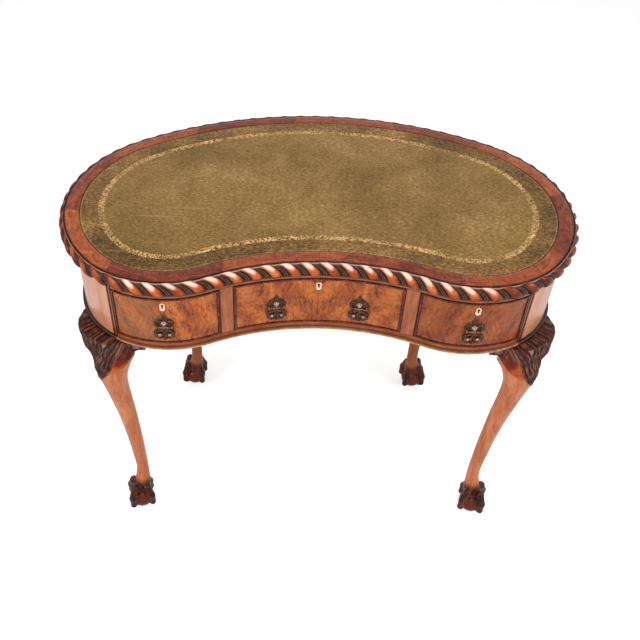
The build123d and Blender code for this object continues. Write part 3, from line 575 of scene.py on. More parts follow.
def mesh_piece(name, points, faces, body, fields=None):
    """One smooth mesh object that rides on a body."""
    mesh = bpy.data.meshes.new(name)
    mesh.from_pydata([tuple(point) for point in points], [], [tuple(face) for face in faces])
    mesh.update()
    for field, values in (fields or {}).items():
        attribute = mesh.attributes.new(field, "FLOAT", "POINT")
        attribute.data.foreach_set("value", np.asarray(values, np.float32).reshape(-1))
    mesh.polygons.foreach_set("use_smooth", [True] * len(mesh.polygons))
    piece = bpy.data.objects.new(name, mesh)
    bpy.context.scene.collection.objects.link(piece)
    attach(piece, body)
    return piece


def evaluated_mesh(thing):
    """The mesh that an object comes to, in place of the object."""
    bpy.context.scene.collection.objects.link(thing)
    graph = bpy.context.evaluated_depsgraph_get()
    mesh = bpy.data.meshes.new_from_object(thing.evaluated_get(graph))
    bpy.data.objects.remove(thing)
    return mesh


def grid_faces(rows, columns, close_rows=False, close_columns=False):
    """Quads over a grid of points stored row by row."""
    faces = []
    for row in range(rows if close_rows else rows - 1):
        for column in range(columns if close_columns else columns - 1):
            next_row = (row + 1) % rows
            next_column = (column + 1) % columns
            faces.append((row * columns + column, next_row * columns + column,
                          next_row * columns + next_column, row * columns + next_column))
    return faces


def rope_light_masks(run, turned):
    """Where the rope faces forward between the board's lobes, and where its section takes the painted
    highlight there.
    """
    points, normals = rim(run)
    facing = smooth_step(-normals[:, 1], *ROPE_HIGHLIGHT_FACING)
    facing = facing * smooth_step(points[:, 0], *ROPE_HIGHLIGHT_LEFT)
    facing = facing * (1 - smooth_step(points[:, 0], *ROPE_HIGHLIGHT_RIGHT))
    rising = smooth_step(turned, *np.radians(ROPE_HIGHLIGHT_RISING))
    lobe_highlight = rising * (1 - smooth_step(turned, *np.radians(ROPE_HIGHLIGHT_FALLING)))
    return facing[:, None], rising[None, :], lobe_highlight[None, :]


def rope_moulding():
    """The carved rope: polished lobes with dark flutes between, slanting one way all round."""
    count = round(rim_length / ROPE_PITCH)
    run = even_run(count * ROPE_SAMPLES)
    arc = radians(ROPE_ARC)
    low = radians(ROPE_SLANT_LOW)
    turned = np.radians(np.linspace(ROPE_ARC, -ROPE_ARC, ROPE_AROUND))
    slant = ROPE_SLANT * np.clip((turned - low) / (arc - low), 0, 1) ** ROPE_SLANT_POWER
    phase = (run[:, None] * count / rim_length + ROPE_START + slant[None, :]) % 1.0
    lobe = np.clip(1 - ((phase - LOBE_SHARE / 2) / (LOBE_SHARE / 2)) ** 2, 0, 1)
    inside = phase < LOBE_SHARE
    flute = (phase - LOBE_SHARE) / (1 - LOBE_SHARE)
    hollow = np.sqrt(np.clip(1 - (2 * flute - 1) ** 2, 0, 1))
    bead = np.zeros_like(flute)
    for place in FLUTE_BEADS:
        bead = np.maximum(bead, 1 - ((flute - place) / (FLUTE_BEAD_SHARE / 2)) ** 2)
    relief = np.where(inside, LOBE_FALL * (np.sqrt(lobe) - 1),
                      -LOBE_FALL - (FLUTE_DEPTH - LOBE_FALL) * hollow + FLUTE_BEAD * np.sqrt(bead))
    lip = smooth_step(turned, *np.radians(ROPE_LIP))[None, :]
    foot = smooth_step(-turned, radians(ROPE_FOOT), arc)[None, :]
    relief = relief * (1 - np.maximum(lip, ROPE_FOOT_SHARE * foot))
    middle = (rope_low.z + rope_high.z) / 2
    semi_height = (rope_high.z - rope_low.z) / 2
    outward = ROPE_OUT + (ROPE_SEMI_OUT + relief) * np.cos(turned)[None, :]
    height = middle + (semi_height + relief) * np.sin(turned)[None, :]
    # Where the lobes face forward: they take painted light there, and a painted highlight on their tops.
    facing, rising, lobe_highlight = rope_light_masks(run, turned)
    highlight_half = (ROPE_HIGHLIGHT_SHARE + ROPE_HIGHLIGHT_GAIN_SHARE * rising) / 2
    crest = np.clip(1 - ((phase / LOBE_SHARE - ROPE_HIGHLIGHT_SIDE) / highlight_half) ** 2, 0, 1)
    # Painted light: each lobe's top half is lit, less so where the rope turns away from the front.
    lobe_light = smooth_step(turned, *np.radians(ROPE_LIT_FROM))[None, :]
    # Painted shade, deepening from each flute's edge into it.
    dark = smooth_step(np.minimum(flute, 1 - flute), 0.0, FLUTE_EDGE_SHARE)
    rope = mesh_piece("carved_rope", rim_points(run, -outward, height),
                      grid_faces(len(run), ROPE_AROUND, True, True), "desk", {
                          "lobe_light": lobe_light * (ROPE_SIDE_LIGHT_SHARE + (1 - ROPE_SIDE_LIGHT_SHARE) * facing),
                          "flute": np.where(inside, 0.0, dark) * (1 - lip),
                          # Painted highlight on the flutes' fine beads.
                          "bead": np.where(inside, 0.0, bead) * (1 - lip),
                          "edge": np.where(inside, 1 - lobe, 1.0) * (1 - lip),
                          "lip": np.broadcast_to(lip, phase.shape),
                          # Painted highlight on the forward-facing lobes.
                          "lobe_highlight": facing * lobe_highlight * np.where(inside, crest, 0.0),
                      })
    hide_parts("rope_moulding")
    return rope


def crossbanding():
    """The veneered border, a thin skin that drops a little at both its edges."""
    run = even_run(BAND_STEPS)
    insets = np.tile(np.array(BAND_INSETS), (BAND_STEPS, 1))
    heights = np.full(insets.shape, rope_high.z)
    heights[:, 0] -= BAND_EDGE_DROP
    heights[:, -1] -= BAND_EDGE_DROP
    low = np.full((BAND_STEPS, 1), board_high.z + BAND_LIFT)
    insets = np.concatenate([insets[:, :1], insets, insets[:, -1:]], 1)
    heights = np.concatenate([low, heights, low], 1)
    columns = insets.shape[1]
    faces = grid_faces(BAND_STEPS, columns, True)
    band = mesh_piece("crossband_veneer", rim_points(run, insets, heights), faces, "desk",
                      {"run": np.repeat(run, columns), "inset": insets})
    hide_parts("crossbanding")
    return band


def leather():
    """The leather, with the distance in from the board's edge kept for its tooling."""
    run = even_run(LEATHER_STEPS)
    insets = np.tile(np.array(LEATHER_INSETS), (LEATHER_STEPS, 1))
    heights = np.full(insets.shape, leather_top)
    heights[:, 0] -= LEATHER_EDGE_DROP
    columns = insets.shape[1]
    solid = rim_points(run, insets, heights)
    faces = grid_faces(LEATHER_STEPS, columns, True)
    inner = [row * columns + columns - 1 for row in range(LEATHER_STEPS)]
    for triangle in tessellate_polygon([[Vector(solid[index]) for index in inner]]):
        corners = [inner[index] for index in triangle]
        first, second, third = (solid[index] for index in corners)
        turning = np.cross(second - first, third - first)[2]
        faces.append(tuple(corners if turning > 0 else corners[::-1]))
    piece = mesh_piece("tooled_leather", solid, faces, "desk",
                       {"run": np.repeat(run, columns), "inset": insets})
    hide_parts("leather_inset")
    return piece


def corner_beads():
    """Two upright beads at each front corner of the frieze."""
    pieces = []
    steps = CORNER_BEAD_STEPS
    for side, name in ((-1, "corner_beads_left"), (1, "corner_beads_right")):
        points = []
        faces = []
        for offset, radius in zip(CORNER_BEAD_OFFSETS, CORNER_BEAD_RADII):
            angle = corner_turn + offset / lobe_radius
            out = np.array([cos(angle), sin(angle)])
            along = np.array([-sin(angle), cos(angle)])
            foot = np.array([lobe_x, lobe_y]) + (lobe_radius - FRIEZE_INSET) * out
            first = len(points)
            for height in (rail_low.z + CORNER_BEAD_RISE, rope_low.z - CORNER_BEAD_GAP):
                for step in range(steps + 1):
                    turned = pi * step / steps
                    spot = foot + radius * (sin(turned) * out * CORNER_BEAD_OUT_SHARE + cos(turned) * along)
                    points.append((side * spot[0], spot[1], height))
            for step in range(first, first + steps):
                face = (step, step + 1, step + steps + 2, step + steps + 1)
                faces.append(face if side > 0 else face[::-1])
        pieces.append(mesh_piece(name, points, faces, "desk"))
    return pieces


# Legs

def leg_matrix(front):
    """From a right hand leg's own frame to the desk's."""
    if front:
        return Matrix.Translation((corner_x, corner_y, 0)) @ Matrix.Rotation(corner_turn, 4, "Z")
    angle = radians(REAR_LEG_TURN)
    place = (REAR_LEG_PLACE[0] - FOOT_OUT * cos(angle), REAR_LEG_PLACE[1] - FOOT_OUT * sin(angle), 0)
    return Matrix.Translation(place) @ Matrix.Rotation(angle, 4, "Z")


def leg_blank():
    """The right front leg and its brackets as one smooth skin, in the leg's own frame."""
    points = []
    faces = []
    for node in ("front_right_leg", "front_right_brackets"):
        mesh = frame["nodes"][node].data
        first = len(points)
        points.extend(tuple(vertex.co) for vertex in mesh.vertices)
        faces.extend(tuple(first + index for index in polygon.vertices) for polygon in mesh.polygons)
    joined = bpy.data.meshes.new("leg_blank")
    joined.from_pydata(points, [], faces)
    joined.transform(leg_matrix(True).inverted())
    blank = bpy.data.objects.new("leg_blank", joined)
    remesh = blank.modifiers.new("skin", "REMESH")
    remesh.mode = "VOXEL"
    remesh.voxel_size = LEG_VOXEL
    return evaluated_mesh(blank)


def largest_island(mesh):
    """The points and faces of a mesh's largest connected part."""
    count = len(mesh.vertices)
    edges = np.zeros(len(mesh.edges) * 2, np.int64)
    mesh.edges.foreach_get("vertices", edges)
    edges = edges.reshape(-1, 2)
    label = np.arange(count)
    while True:
        low = np.minimum(label[edges[:, 0]], label[edges[:, 1]])
        before = label.copy()
        np.minimum.at(label, edges[:, 0], low)
        np.minimum.at(label, edges[:, 1], low)
        label = label[label]
        if (label == before).all():
            break
    names, sizes = np.unique(label, return_counts=True)
    keep = label == names[np.argmax(sizes)]
    new_index = np.cumsum(keep) - 1
    points = np.zeros(count * 3)
    mesh.vertices.foreach_get("co", points)
    faces = [tuple(int(new_index[index]) for index in polygon.vertices) for polygon in mesh.polygons
             if keep[polygon.vertices[0]]]
    return points.reshape(-1, 3)[keep], faces


def neighbours(faces, count):
    """Pairs of joined points, both ways round, and how many each point has."""
    pairs = set()
    for face in faces:
        for start, finish in zip(face, face[1:] + face[:1]):
            pairs.add((start, finish))
            pairs.add((finish, start))
    pairs = np.array(sorted(pairs))
    return pairs, np.bincount(pairs[:, 0], minlength=count)


def relax(points, pairs, degree, share):
    """Moves each point towards the middle of its neighbours by its own share."""
    total = np.zeros_like(points)
    for axis in range(3):
        total[:, axis] = np.bincount(pairs[:, 0], weights=points[pairs[:, 1], axis], minlength=len(points))
    return points + (total / degree[:, None] - points) * share[:, None]


def point_normals(points, faces):
    """Outward directions at the points of a quad mesh."""
    quads = np.array([face if len(face) == 4 else face + face[-1:] for face in faces])
    across = np.cross(points[quads[:, 2]] - points[quads[:, 0]], points[quads[:, 3]] - points[quads[:, 1]])
    normals = np.zeros_like(points)
    for corner in range(4):
        for axis in range(3):
            normals[:, axis] += np.bincount(quads[:, corner], weights=across[:, axis], minlength=len(points))
    length = np.linalg.norm(normals, axis=1, keepdims=True)
    return normals / np.maximum(length, np.finfo(float).tiny)


def carve_leaf(run, height, facing):
    """The knee's leaf: how far across it points lie, its relief, and its surface and groove shares."""
    wing_x, wing_z = WING_CENTRE
    from_wing = np.where(height >= wing_z, np.hypot(run - wing_x, height - wing_z), wing_x - run)
    low_edge = table_value(height, LEAF_LOW_EDGE)
    across = (from_wing - low_edge) / (table_value(height, LEAF_HIGH_EDGE) - low_edge)
    rise = (height - LEAF_TIP_HEIGHT) / (LEAF_TOP_HEIGHT - LEAF_TIP_HEIGHT)
    inside = np.clip(across, 0, 1)
    wave = sum(size * np.sin(rise * up + inside * over + start) for size, up, over, start in LEAF_WAVES)
    phase = LEAF_STRANDS * across + wave * np.sin(inside * pi)
    ridge = np.abs(np.sin(pi * phase)) ** RIDGE_POWER
    split = np.abs(np.sin(2 * pi * phase)) ** SPLIT_POWER
    leaf = (smooth_step(across, *LEAF_LOW_BLEND) * smooth_step(1 - across, *LEAF_HIGH_BLEND)
            * smooth_step(height - LEAF_TIP_HEIGHT, *LEAF_TIP_BLEND)) * facing
    depth = STRAND_DEPTH * (1 - STRAND_WAVE_SHARE + STRAND_WAVE_SHARE * np.sin(rise * STRAND_WAVES + phase))
    curl = CURL_HEIGHT * np.sin(rise * CURL_WAVES[0] + inside * CURL_WAVES[1]) * ridge
    shoulder = smooth_step(height, *SHOULDER_HEIGHTS) * smooth_step(run, 0.0, SHOULDER_RUN)
    relief = LEAF_RAISE - depth * (1 - ridge) - SPLIT_DEPTH * (1 - split) + curl + shoulder * SHOULDER_SWELL
    groove = leaf * np.clip(GROOVE_REACH - ridge - GROOVE_SPLIT_SHARE * split, 0, 1)
    return across, leaf * relief, leaf, groove


def carve_ear(run, height, facing, across):
    """The scrolled ear beside the leaf: its relief, its surface share, and the share of its rim and scroll
    that takes a painted highlight.
    """
    above = height - table_value(run, EAR_LINE)
    beside = smooth_step(across, *EAR_FROM) * facing
    ear = beside * smooth_step(above, -EAR_BLEND, EAR_BLEND)
    lip = beside * smooth_step(EAR_RIM_HALF - np.abs(above - EAR_RIM_HALF), 0.0, EAR_RIM_BLEND)
    from_scroll = np.hypot(run - EAR_SCROLL[0], height - EAR_SCROLL[1])
    top = EAR_SCROLL_TOP_SHARE * EAR_SCROLL_RADIUS
    scroll = facing * (1 - smooth_step(from_scroll, top, EAR_SCROLL_RADIUS))
    hollow = ear * smooth_step(above, *EAR_HOLLOW_RISING) * (1 - smooth_step(above, *EAR_HOLLOW_FALLING))
    relief = (ear - hollow) * EAR_RAISE + lip * EAR_RIM_RAISE + scroll * EAR_SCROLL_RAISE
    return relief, ear, np.maximum(lip, scroll * EAR_SCROLL_HIGHLIGHT_SHARE)


def carve_leg(points, normals):
    """How far the carving moves each point along its normal, and the shading fields."""
    run = np.arctan2(points[:, 1], points[:, 0] + lobe_radius) * lobe_radius
    height = points[:, 2]
    facing = smooth_step(normals[:, 0], *CARVED_FACING)
    across, leaf_relief, leaf, groove = carve_leaf(run, height, facing)
    ear_relief, ear, lip = carve_ear(run, height, facing, across)
    from_ball = np.linalg.norm(points - np.array([FOOT_OUT, 0, BALL_RADIUS]), axis=1) - BALL_RADIUS
    ball = 1 - smooth_step(from_ball, *BALL_BLEND)
    return leaf_relief + ear_relief, {"groove": groove, "leaf": leaf, "lip": lip, "ear": ear, "ball": ball}


def carved_legs():
    """Four carved cabriole legs with their knee brackets."""
    points, faces = largest_island(leg_blank())
    pairs, degree = neighbours(faces, len(points))
    knee = smooth_step(points[:, 2], *KNEE_FROM)
    for number in range(KNEE_SMOOTH_ROUNDS):
        share = np.ones(len(points)) if number < LEG_SMOOTH_ROUNDS else knee
        share = SMOOTH_SHARE * share * (points[:, 2] < KNEE_FIXED_FROM)
        points = relax(points, pairs, degree, share)
    normals = point_normals(points, faces)
    move, fields = carve_leg(points, normals)
    points = points + normals * move[:, None]
    points[:, 2] = np.clip(points[:, 2], 0, panel_foot)
    legs = []
    for front in (True, False):
        for side in (-1, 1):
            name = ("front" if front else "rear") + ("_left" if side < 0 else "_right")
            matrix = np.array(leg_matrix(front))
            placed = points * np.array([1, 1 if front else -1, 1]) @ matrix[:3, :3].T + matrix[:3, 3]
            flipped = (side < 0) != (not front)
            turned = [face[::-1] for face in faces] if flipped else faces
            leg = mesh_piece(f"carved_leg_{name}", placed * np.array([side, 1, 1]), turned, "desk",
                             fields)
            brackets = f"{name}_brackets" if front else "rear_brackets"
            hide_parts(f"{name}_leg", brackets)
            legs.append(leg)
    return legs


# Handles

def handle_matrix(x):
    """From a handle's own frame to the desk's: its middle is on the drawer's face, square to it."""
    if abs(x) < stile_x:
        y = hollow_y + sqrt((hollow_radius + FRIEZE_INSET) ** 2 - x**2)
        out = Vector((-x, hollow_y - y, 0)).normalized()
    else:
        y = lobe_y - sqrt((lobe_radius - FRIEZE_INSET) ** 2 - (abs(x) - lobe_x) ** 2)
        out = Vector((0, -1, 0))
    rotation = Matrix((Vector((-out.y, out.x, 0)), Vector((0, 0, 1)), out)).transposed()
    return Matrix.Translation((x, y, HANDLE_Z)) @ rotation.to_4x4()


class Parts:
    """Points and faces gathered from several forms, with how far each form is made paler, partly bright wear
    and partly a painted highlight.
    """

    def __init__(self):
        self.points = []
        self.faces = []
        self.raised = []

    def add(self, points, faces, raised=0.0):
        first = len(self.points)
        self.points.extend(tuple(point) for point in points)
        self.raised.extend([raised] * len(points))
        self.faces.extend(tuple(first + index for index in face) for face in faces)

    def tube(self, rings, steps, turn, raised):
        """A closed tube through rings of middle, radius and two directions; a turn of -1 flips its faces."""
        points = []
        for middle, radius, side, other in rings:
            for step in range(steps):
                angle = 2 * pi * step / steps
                points.append(middle + radius * (cos(angle) * side + sin(angle) * other))
        faces = grid_faces(len(rings), steps, False, True)
        faces.append(tuple(range(steps)))
        faces.append(tuple(range(len(points) - steps, len(points)))[::-1])
        self.add(points, [face[::turn] for face in faces], raised)

    def turned(self, profile, middle, along, steps, raised=BRIGHT_TURNED):
        """A form turned about an axis: profile gives radius and distance along it."""
        axis = Vector(along)
        side = axis.orthogonal().normalized()
        other = axis.cross(side)
        rings = [(Vector(middle) + axis * distance, radius, side, other) for radius, distance in profile]
        self.tube(rings, steps, -1, raised)

    def rib(self, path, radius):
        """A tapering round rib laid along points."""
        path = [Vector(point) for point in path]
        last = len(path) - 1
        rings = []
        for number, point in enumerate(path):
            along = (path[min(number + 1, last)] - path[max(number - 1, 0)]).normalized()
            side = Vector((-along.y, along.x, 0))
            share = min(max(number / last, RIB_TAPER_SHARE), 1 - RIB_TAPER_SHARE)
            size = radius * (RIB_END_SHARE + (1 - RIB_END_SHARE) * sin(pi * share))
            rings.append((point, size, side, along.cross(side)))
        self.tube(rings, RIB_STEPS, 1, BRIGHT_RIB)

    def piece(self, name, matrix, body, slot):
        placed = [matrix @ Vector(point) for point in self.points]
        return mesh_piece(name, placed, self.faces, body, {"raised": self.raised})


def curve_through(points, count):
    """More points on a smooth curve through a few."""
    points = np.array(points)
    before = np.vstack([2 * points[0] - points[1], points, 2 * points[-1] - points[-2]])
    result = []
    for number in range(len(points) - 1):
        first, second, third, fourth = before[number:number + 4]
        for step in range(count):
            share = step / count
            result.append(0.5 * (2 * second + (third - first) * share
                                 + (2 * first - 5 * second + 4 * third - fourth) * share**2
                                 + (3 * second - first - 3 * third + fourth) * share**3))
    result.append(points[-1])
    return np.array(result)


def shell():
    """The handle's fluted shell: rings of points from its edge in, a middle and a flat back."""
    points = []
    for ring in range(SHELL_RINGS):
        share = 1 - ring / SHELL_RINGS
        for step in range(SHELL_AROUND):
            angle = SHELL_TURN_FROM + SHELL_TURN * step / (SHELL_AROUND - 1)
            turned = radians(angle)
            ripple = abs(sin(turned * SHELL_SCALLOPS)) ** SHELL_SCALLOP_POWER
            edge = float(table_value(angle if angle <= 90 else 180 - angle, SHELL_OUTLINE))
            edge = edge * (1 - SHELL_SCALLOP_SHARE * (1 - ripple))
            height = SHELL_BACK + SHELL_EDGE
            if ring:
                dish = 1 - SHELL_DISH_SHARE + SHELL_DISH_SHARE * share
                height += SHELL_RISE * (1 - share**SHELL_RISE_POWER) * dish
                height += SHELL_FLUTE * (ripple - 0.5) * sin(pi * min(share, SHELL_FLUTE_END_SHARE))
            points.append((edge * share * cos(turned), SHELL_MIDDLE + edge * share * sin(turned), height))
    middle = len(points)
    points.append((0, SHELL_MIDDLE, SHELL_BACK + SHELL_RISE))
    under = len(points)
    points.extend((x, y, SHELL_BACK) for x, y, _ in points[:SHELL_AROUND])
    last = middle - SHELL_AROUND
    steps = range(SHELL_AROUND - 1)
    faces = [face[::-1] for face in grid_faces(SHELL_RINGS, SHELL_AROUND)]
    faces.extend((last + step, last + step + 1, middle) for step in steps)
    faces.extend((step, under + step, under + step + 1, step + 1) for step in steps)
    return points, faces


def handle_plate(name, x, body):
    """A cast shell with a pointed crown, its boss, its two lugs and its fixing posts."""
    parts = Parts()
    parts.add(*shell())
    parts.turned(BOSS_PROFILE, (0, BOSS_HEIGHT, 0), (0, 0, 1), BOSS_STEPS, BRIGHT_BOSS)
    post = ((POST_RADIUS, -POST_LENGTH), (POST_RADIUS, PINTLE_REACH - POST_SHORT_OF_PINTLE))
    for side in (-1, 1):
        parts.turned(LUG_PROFILE, (side * LUG_OUT, 0, PINTLE_REACH), (1, 0, 0), LUG_STEPS)
        parts.turned(post, (side * LUG_OUT, 0, 0), (0, 0, 1), LUG_STEPS)
        parts.rib(curve_through([(side * a, b, c) for a, b, c in SHELL_LEAF], PATH_STEPS), SHELL_LEAF_RADIUS)
    parts.rib(curve_through(SHELL_CROWN, PATH_STEPS), SHELL_CROWN_RADIUS)
    plate = parts.piece(f"{name}_handle_shell", handle_matrix(x), body, "handle_bronze")
    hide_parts(f"{name}_handle_plate")
    return plate


def pierced_sheet(outline, holes):
    """A flat leafy sheet with rounded edges, from closed curves, as far out as the pintles."""
    curve = bpy.data.curves.new("pierced_sheet", "CURVE")
    curve.dimensions = "2D"
    curve.fill_mode = "BOTH"
    curve.extrude = DROP_HALF_THICKNESS
    curve.bevel_depth = DROP_ROUND
    curve.bevel_resolution = DROP_ROUND_STEPS
    for path in [outline] + holes:
        spline = curve.splines.new("POLY")
        spline.points.add(len(path) - 1)
        for point, spot in zip(spline.points, path):
            point.co = (spot[0], spot[1], 0, 1)
        spline.use_cyclic_u = True
    mesh = evaluated_mesh(bpy.data.objects.new("pierced_sheet", curve))
    points = [(vertex.co.x, vertex.co.y, vertex.co.z + PINTLE_REACH) for vertex in mesh.vertices]
    return points, [tuple(polygon.vertices) for polygon in mesh.polygons]


def handle_drop(name, x):
    """The pierced leafy drop that hangs on the two lugs."""
    parts = Parts()
    right = curve_through(DROP_OUTLINE, OUTLINE_STEPS)
    outline = [tuple(spot) for spot in right] + [(-a, b) for a, b in right[1:-1][::-1]]
    holes = []
    for hole in DROP_HOLES:
        loop = curve_through((*hole, hole[0]), OUTLINE_STEPS)[:-1]
        holes.append([tuple(spot) for spot in loop])
        holes.append([(-a, b) for a, b in loop])
    parts.add(*pierced_sheet(outline, holes))
    top = PINTLE_REACH + DROP_HALF_THICKNESS + DROP_ROUND
    for side in (-1, 1):
        place = (side * ROSETTE_PLACE[0], ROSETTE_PLACE[1], top - ROSETTE_SINK)
        parts.turned(ROSETTE_PROFILE, place, (0, 0, 1), LUG_STEPS, BRIGHT_BOSS)
        for rib in DROP_RIBS:
            parts.rib(curve_through([(side * a, b, top - RIB_SINK) for a, b in rib], PATH_STEPS), RIB_RADIUS)
    parts.turned(GRIP_PROFILE, (0, 0, PINTLE_REACH), (1, 0, 0), GRIP_STEPS)
    end = LUG_OUT + PINTLE_PAST_LUG
    parts.turned(((PINTLE_RADIUS, -end), (PINTLE_RADIUS, end)), (0, 0, PINTLE_REACH), (1, 0, 0), PINTLE_STEPS)
    drop = parts.piece(f"{name}_leafy_drop", handle_matrix(x), f"{name}_handle_drop", "handle_bronze")
    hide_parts(f"{name}_handle_drop")
    return drop


def handles():
    """The four handles."""
    centre_x = CENTRE_HANDLE_SHARE * stile_x
    places = (("left", -lobe_x, "left_drawer"), ("centre_left", -centre_x, "centre_drawer"),
              ("centre_right", centre_x, "centre_drawer"), ("right", lobe_x, "right_drawer"))
    pieces = []
    for name, x, body in places:
        pieces.append(handle_plate(name, x, body))
        pieces.append(handle_drop(name, x))
    return pieces


# Nodes of the materials

def linear(tone):
    """A tone from 0 to 255, as it looks, as the strength of its light."""
    strengths = []
    for share in (part / 255 for part in tone):
        strengths.append(share / 12.92 if share <= 0.04045 else ((share + 0.055) / 1.055) ** 2.4)
    return (*strengths, 1.0)


def new_node(tree, kind, inputs=None, **settings):
    """A node with its settings, and its inputs set or linked."""
    node = tree.nodes.new("ShaderNode" + kind)
    for setting, value in settings.items():
        setattr(node, setting, value)
    for key, value in (inputs or {}).items():
        if isinstance(value, Value):
            tree.links.new(value.socket, node.inputs[key])
        else:
            node.inputs[key].default_value = value
    return node


class Value:
    """What a node works out over a surface: it takes part in sums like a plain number."""

    def __init__(self, tree, socket):
        self.tree = tree
        self.socket = socket

    def made(self, kind, inputs, output=0, **settings):
        return Value(self.tree, new_node(self.tree, kind, inputs, **settings).outputs[output])

    def maths(self, operation, first, second=0.0, clamp=False):
        return self.made("Math", {0: first, 1: second}, operation=operation, use_clamp=clamp)

    def __abs__(self):
        return self.maths("ABSOLUTE", self)

    def __add__(self, other):
        return self.maths("ADD", self, other)

    def __sub__(self, other):
        return self.maths("SUBTRACT", self, other)

    def __mul__(self, other):
        return self.maths("MULTIPLY", self, other)

    def __truediv__(self, other):
        return self.maths("DIVIDE", self, other)

    def __pow__(self, other):
        return self.maths("POWER", self, other)

    def most(self, other):
        return self.maths("MAXIMUM", self, other)

    def either(self, other):
        """The sum, but no more than 1."""
        return self.maths("ADD", self, other, True)

    def eased(self, low, high):
        """0 below low, 1 above high and eased between."""
        return self.made("MapRange", {"Value": self, "From Min": low, "From Max": high},
                         interpolation_type="SMOOTHSTEP")

    def faded(self, low, high):
        """1 below low, 0 above high and eased between."""
        return self.maths("SUBTRACT", 1.0, self.eased(low, high))

    def spread(self, low, high, to_low, to_high):
        """From one range to another, held at both ends."""
        return self.made("MapRange", {"Value": self, "From Min": low, "From Max": high, "To Min": to_low,
                                      "To Max": to_high})

    def split(self):
        node = new_node(self.tree, "SeparateXYZ", {0: self})
        return [Value(self.tree, socket) for socket in node.outputs]

    def stretched(self, scale, turn=(0, 0, 0)):
        return self.made("Mapping", {"Vector": self, "Scale": scale, "Rotation": turn})

    def moved(self, operation, other):
        return self.made("VectorMath", {0: self, 1: other}, operation=operation)

    def noise(self, scale, detail=3.0, roughness=0.5, distortion=0.0, output=0):
        """Clouds or specks about this many to the metre, 0 to 1."""
        return self.made("TexNoise", {"Vector": self, "Scale": scale, "Detail": detail,
                                      "Roughness": roughness, "Distortion": distortion}, output)

    def ramp(self, tones):
        """The tone at this place in a list of (place, tone)."""
        return self.banded([(place, linear(tone)) for place, tone in tones], "LINEAR")

    def stepped(self, levels):
        """A level from a list that is followed in even steps from 0 to 1."""
        return self.banded([(number / len(levels), (level, level, level, 1)) for number, level
                            in enumerate(levels)], "CONSTANT")

    def banded(self, stops, interpolation):
        node = new_node(self.tree, "ValToRGB", {0: self})
        node.color_ramp.interpolation = interpolation
        elements = node.color_ramp.elements
        elements.remove(elements[1])
        elements[0].position = stops[0][0]
        elements[0].color = stops[0][1]
        for place, colour in stops[1:]:
            elements.new(place).color = colour
        return Value(self.tree, node.outputs[0])

    def between(self, first, second):
        """What lies this share of the way from the first tone to the second."""
        first, second = (tone if isinstance(tone, Value) else linear(tone) for tone in (first, second))
        return self.made("Mix", {0: self, 6: first, 7: second}, 2, data_type="RGBA")

    def tinted(self, *layers):
        """This colour with layers over it, each of a share, how much that share counts, and a tone."""
        colour = self
        for share, amount, tone in layers:
            colour = (share * amount).between(colour, tone)
        return colour

    def bump(self, distance, strength):
        return self.made("Bump", {"Height": self, "Distance": distance, "Strength": strength})


class Finish:
    """A material whose looks are worked out by nodes. Sockets are named with _ for a space."""

    def __init__(self, name, **sockets):
        self.material = bpy.data.materials.new(name)
        self.material.use_nodes = True
        self.tree = self.material.node_tree
        self.shader = self.tree.nodes["Principled BSDF"]
        for socket, value in sockets.items():
            self.shader.inputs[socket.replace("_", " ")].default_value = value

    def value(self, kind, inputs=None, output=0, **settings):
        return Value(self.tree, new_node(self.tree, kind, inputs, **settings).outputs[output])

    def place(self):
        return self.value("TexCoord", output="Object")

    def field(self, name):
        return self.value("Attribute", output="Fac", attribute_name=name)

    def join(self, x, y, z):
        return self.value("CombineXYZ", {0: x, 1: y, 2: z})

    def done(self, colour, relief, roughness=None):
        """Links what the nodes work out, and gives the material."""
        for socket, value in (("Base Color", colour), ("Normal", relief), ("Roughness", roughness)):
            if value:
                self.tree.links.new(value.socket, self.shader.inputs[socket])
        return self.material


# Materials

def wood_grain(place, scale, stretch):
    """Fine streaks along one direction, 0 to 1."""
    drawn = place.stretched(stretch)
    broad = drawn.noise(scale, *BROAD_GRAIN)
    fine = drawn.noise(scale * FINE_GRAIN_TIMES, *FINE_GRAIN)
    return broad * BROAD_GRAIN_SHARE + fine * (1 - BROAD_GRAIN_SHARE)


def shade_lines(colour, value, places):
    """Darkens a colour along thin lines where a value passes given places: painted shade in the gaps and
    recesses there.
    """
    for place in places:
        line = abs(value - place).faded(LINE_HALF, 2 * LINE_HALF)
        colour = colour.tinted((line, *GAP_SHADE_LAYER))
    return colour


def plain_walnut(name, tones, stretch, scale, axis=2, lines=(), gloss=0.3, shadowed_from=None):
    """Straight grained polished walnut, with painted shade along thin lines at the gaps across one axis, and
    painted shadow above a height, under the rope.
    """
    finish = Finish(name, Specular_IOR_Level=gloss, Coat_Weight=COAT_SHARE * gloss,
                    Coat_Roughness=COAT_ROUGHNESS)
    place = finish.place()
    axes = place.split()
    patch = place.noise(*WALNUT_PATCH)
    colour = wood_grain(place, scale, stretch).ramp(tones)
    colour = colour.tinted((patch.spread(*MOST_NOISE, 0.0, 1.0), PATCH_SHARE, tones[1][1]))
    colour = shade_lines(colour, abs(axes[axis]), lines)
    # Painted shadow on the rail just under the rope.
    if shadowed_from:
        rope_shadow = axes[2].eased(shadowed_from, shadowed_from + ROPE_SHADOW_BLEND)
        colour = colour.tinted((rope_shadow, *ROPE_SHADOW_LAYER))
    pores = place.stretched(stretch).noise(scale * PORE_TIMES, PORE_DETAIL)
    return finish.done(colour, pores.bump(*WALNUT_RELIEF), patch.spread(*MOST_NOISE, *WALNUT_ROUGHNESS))


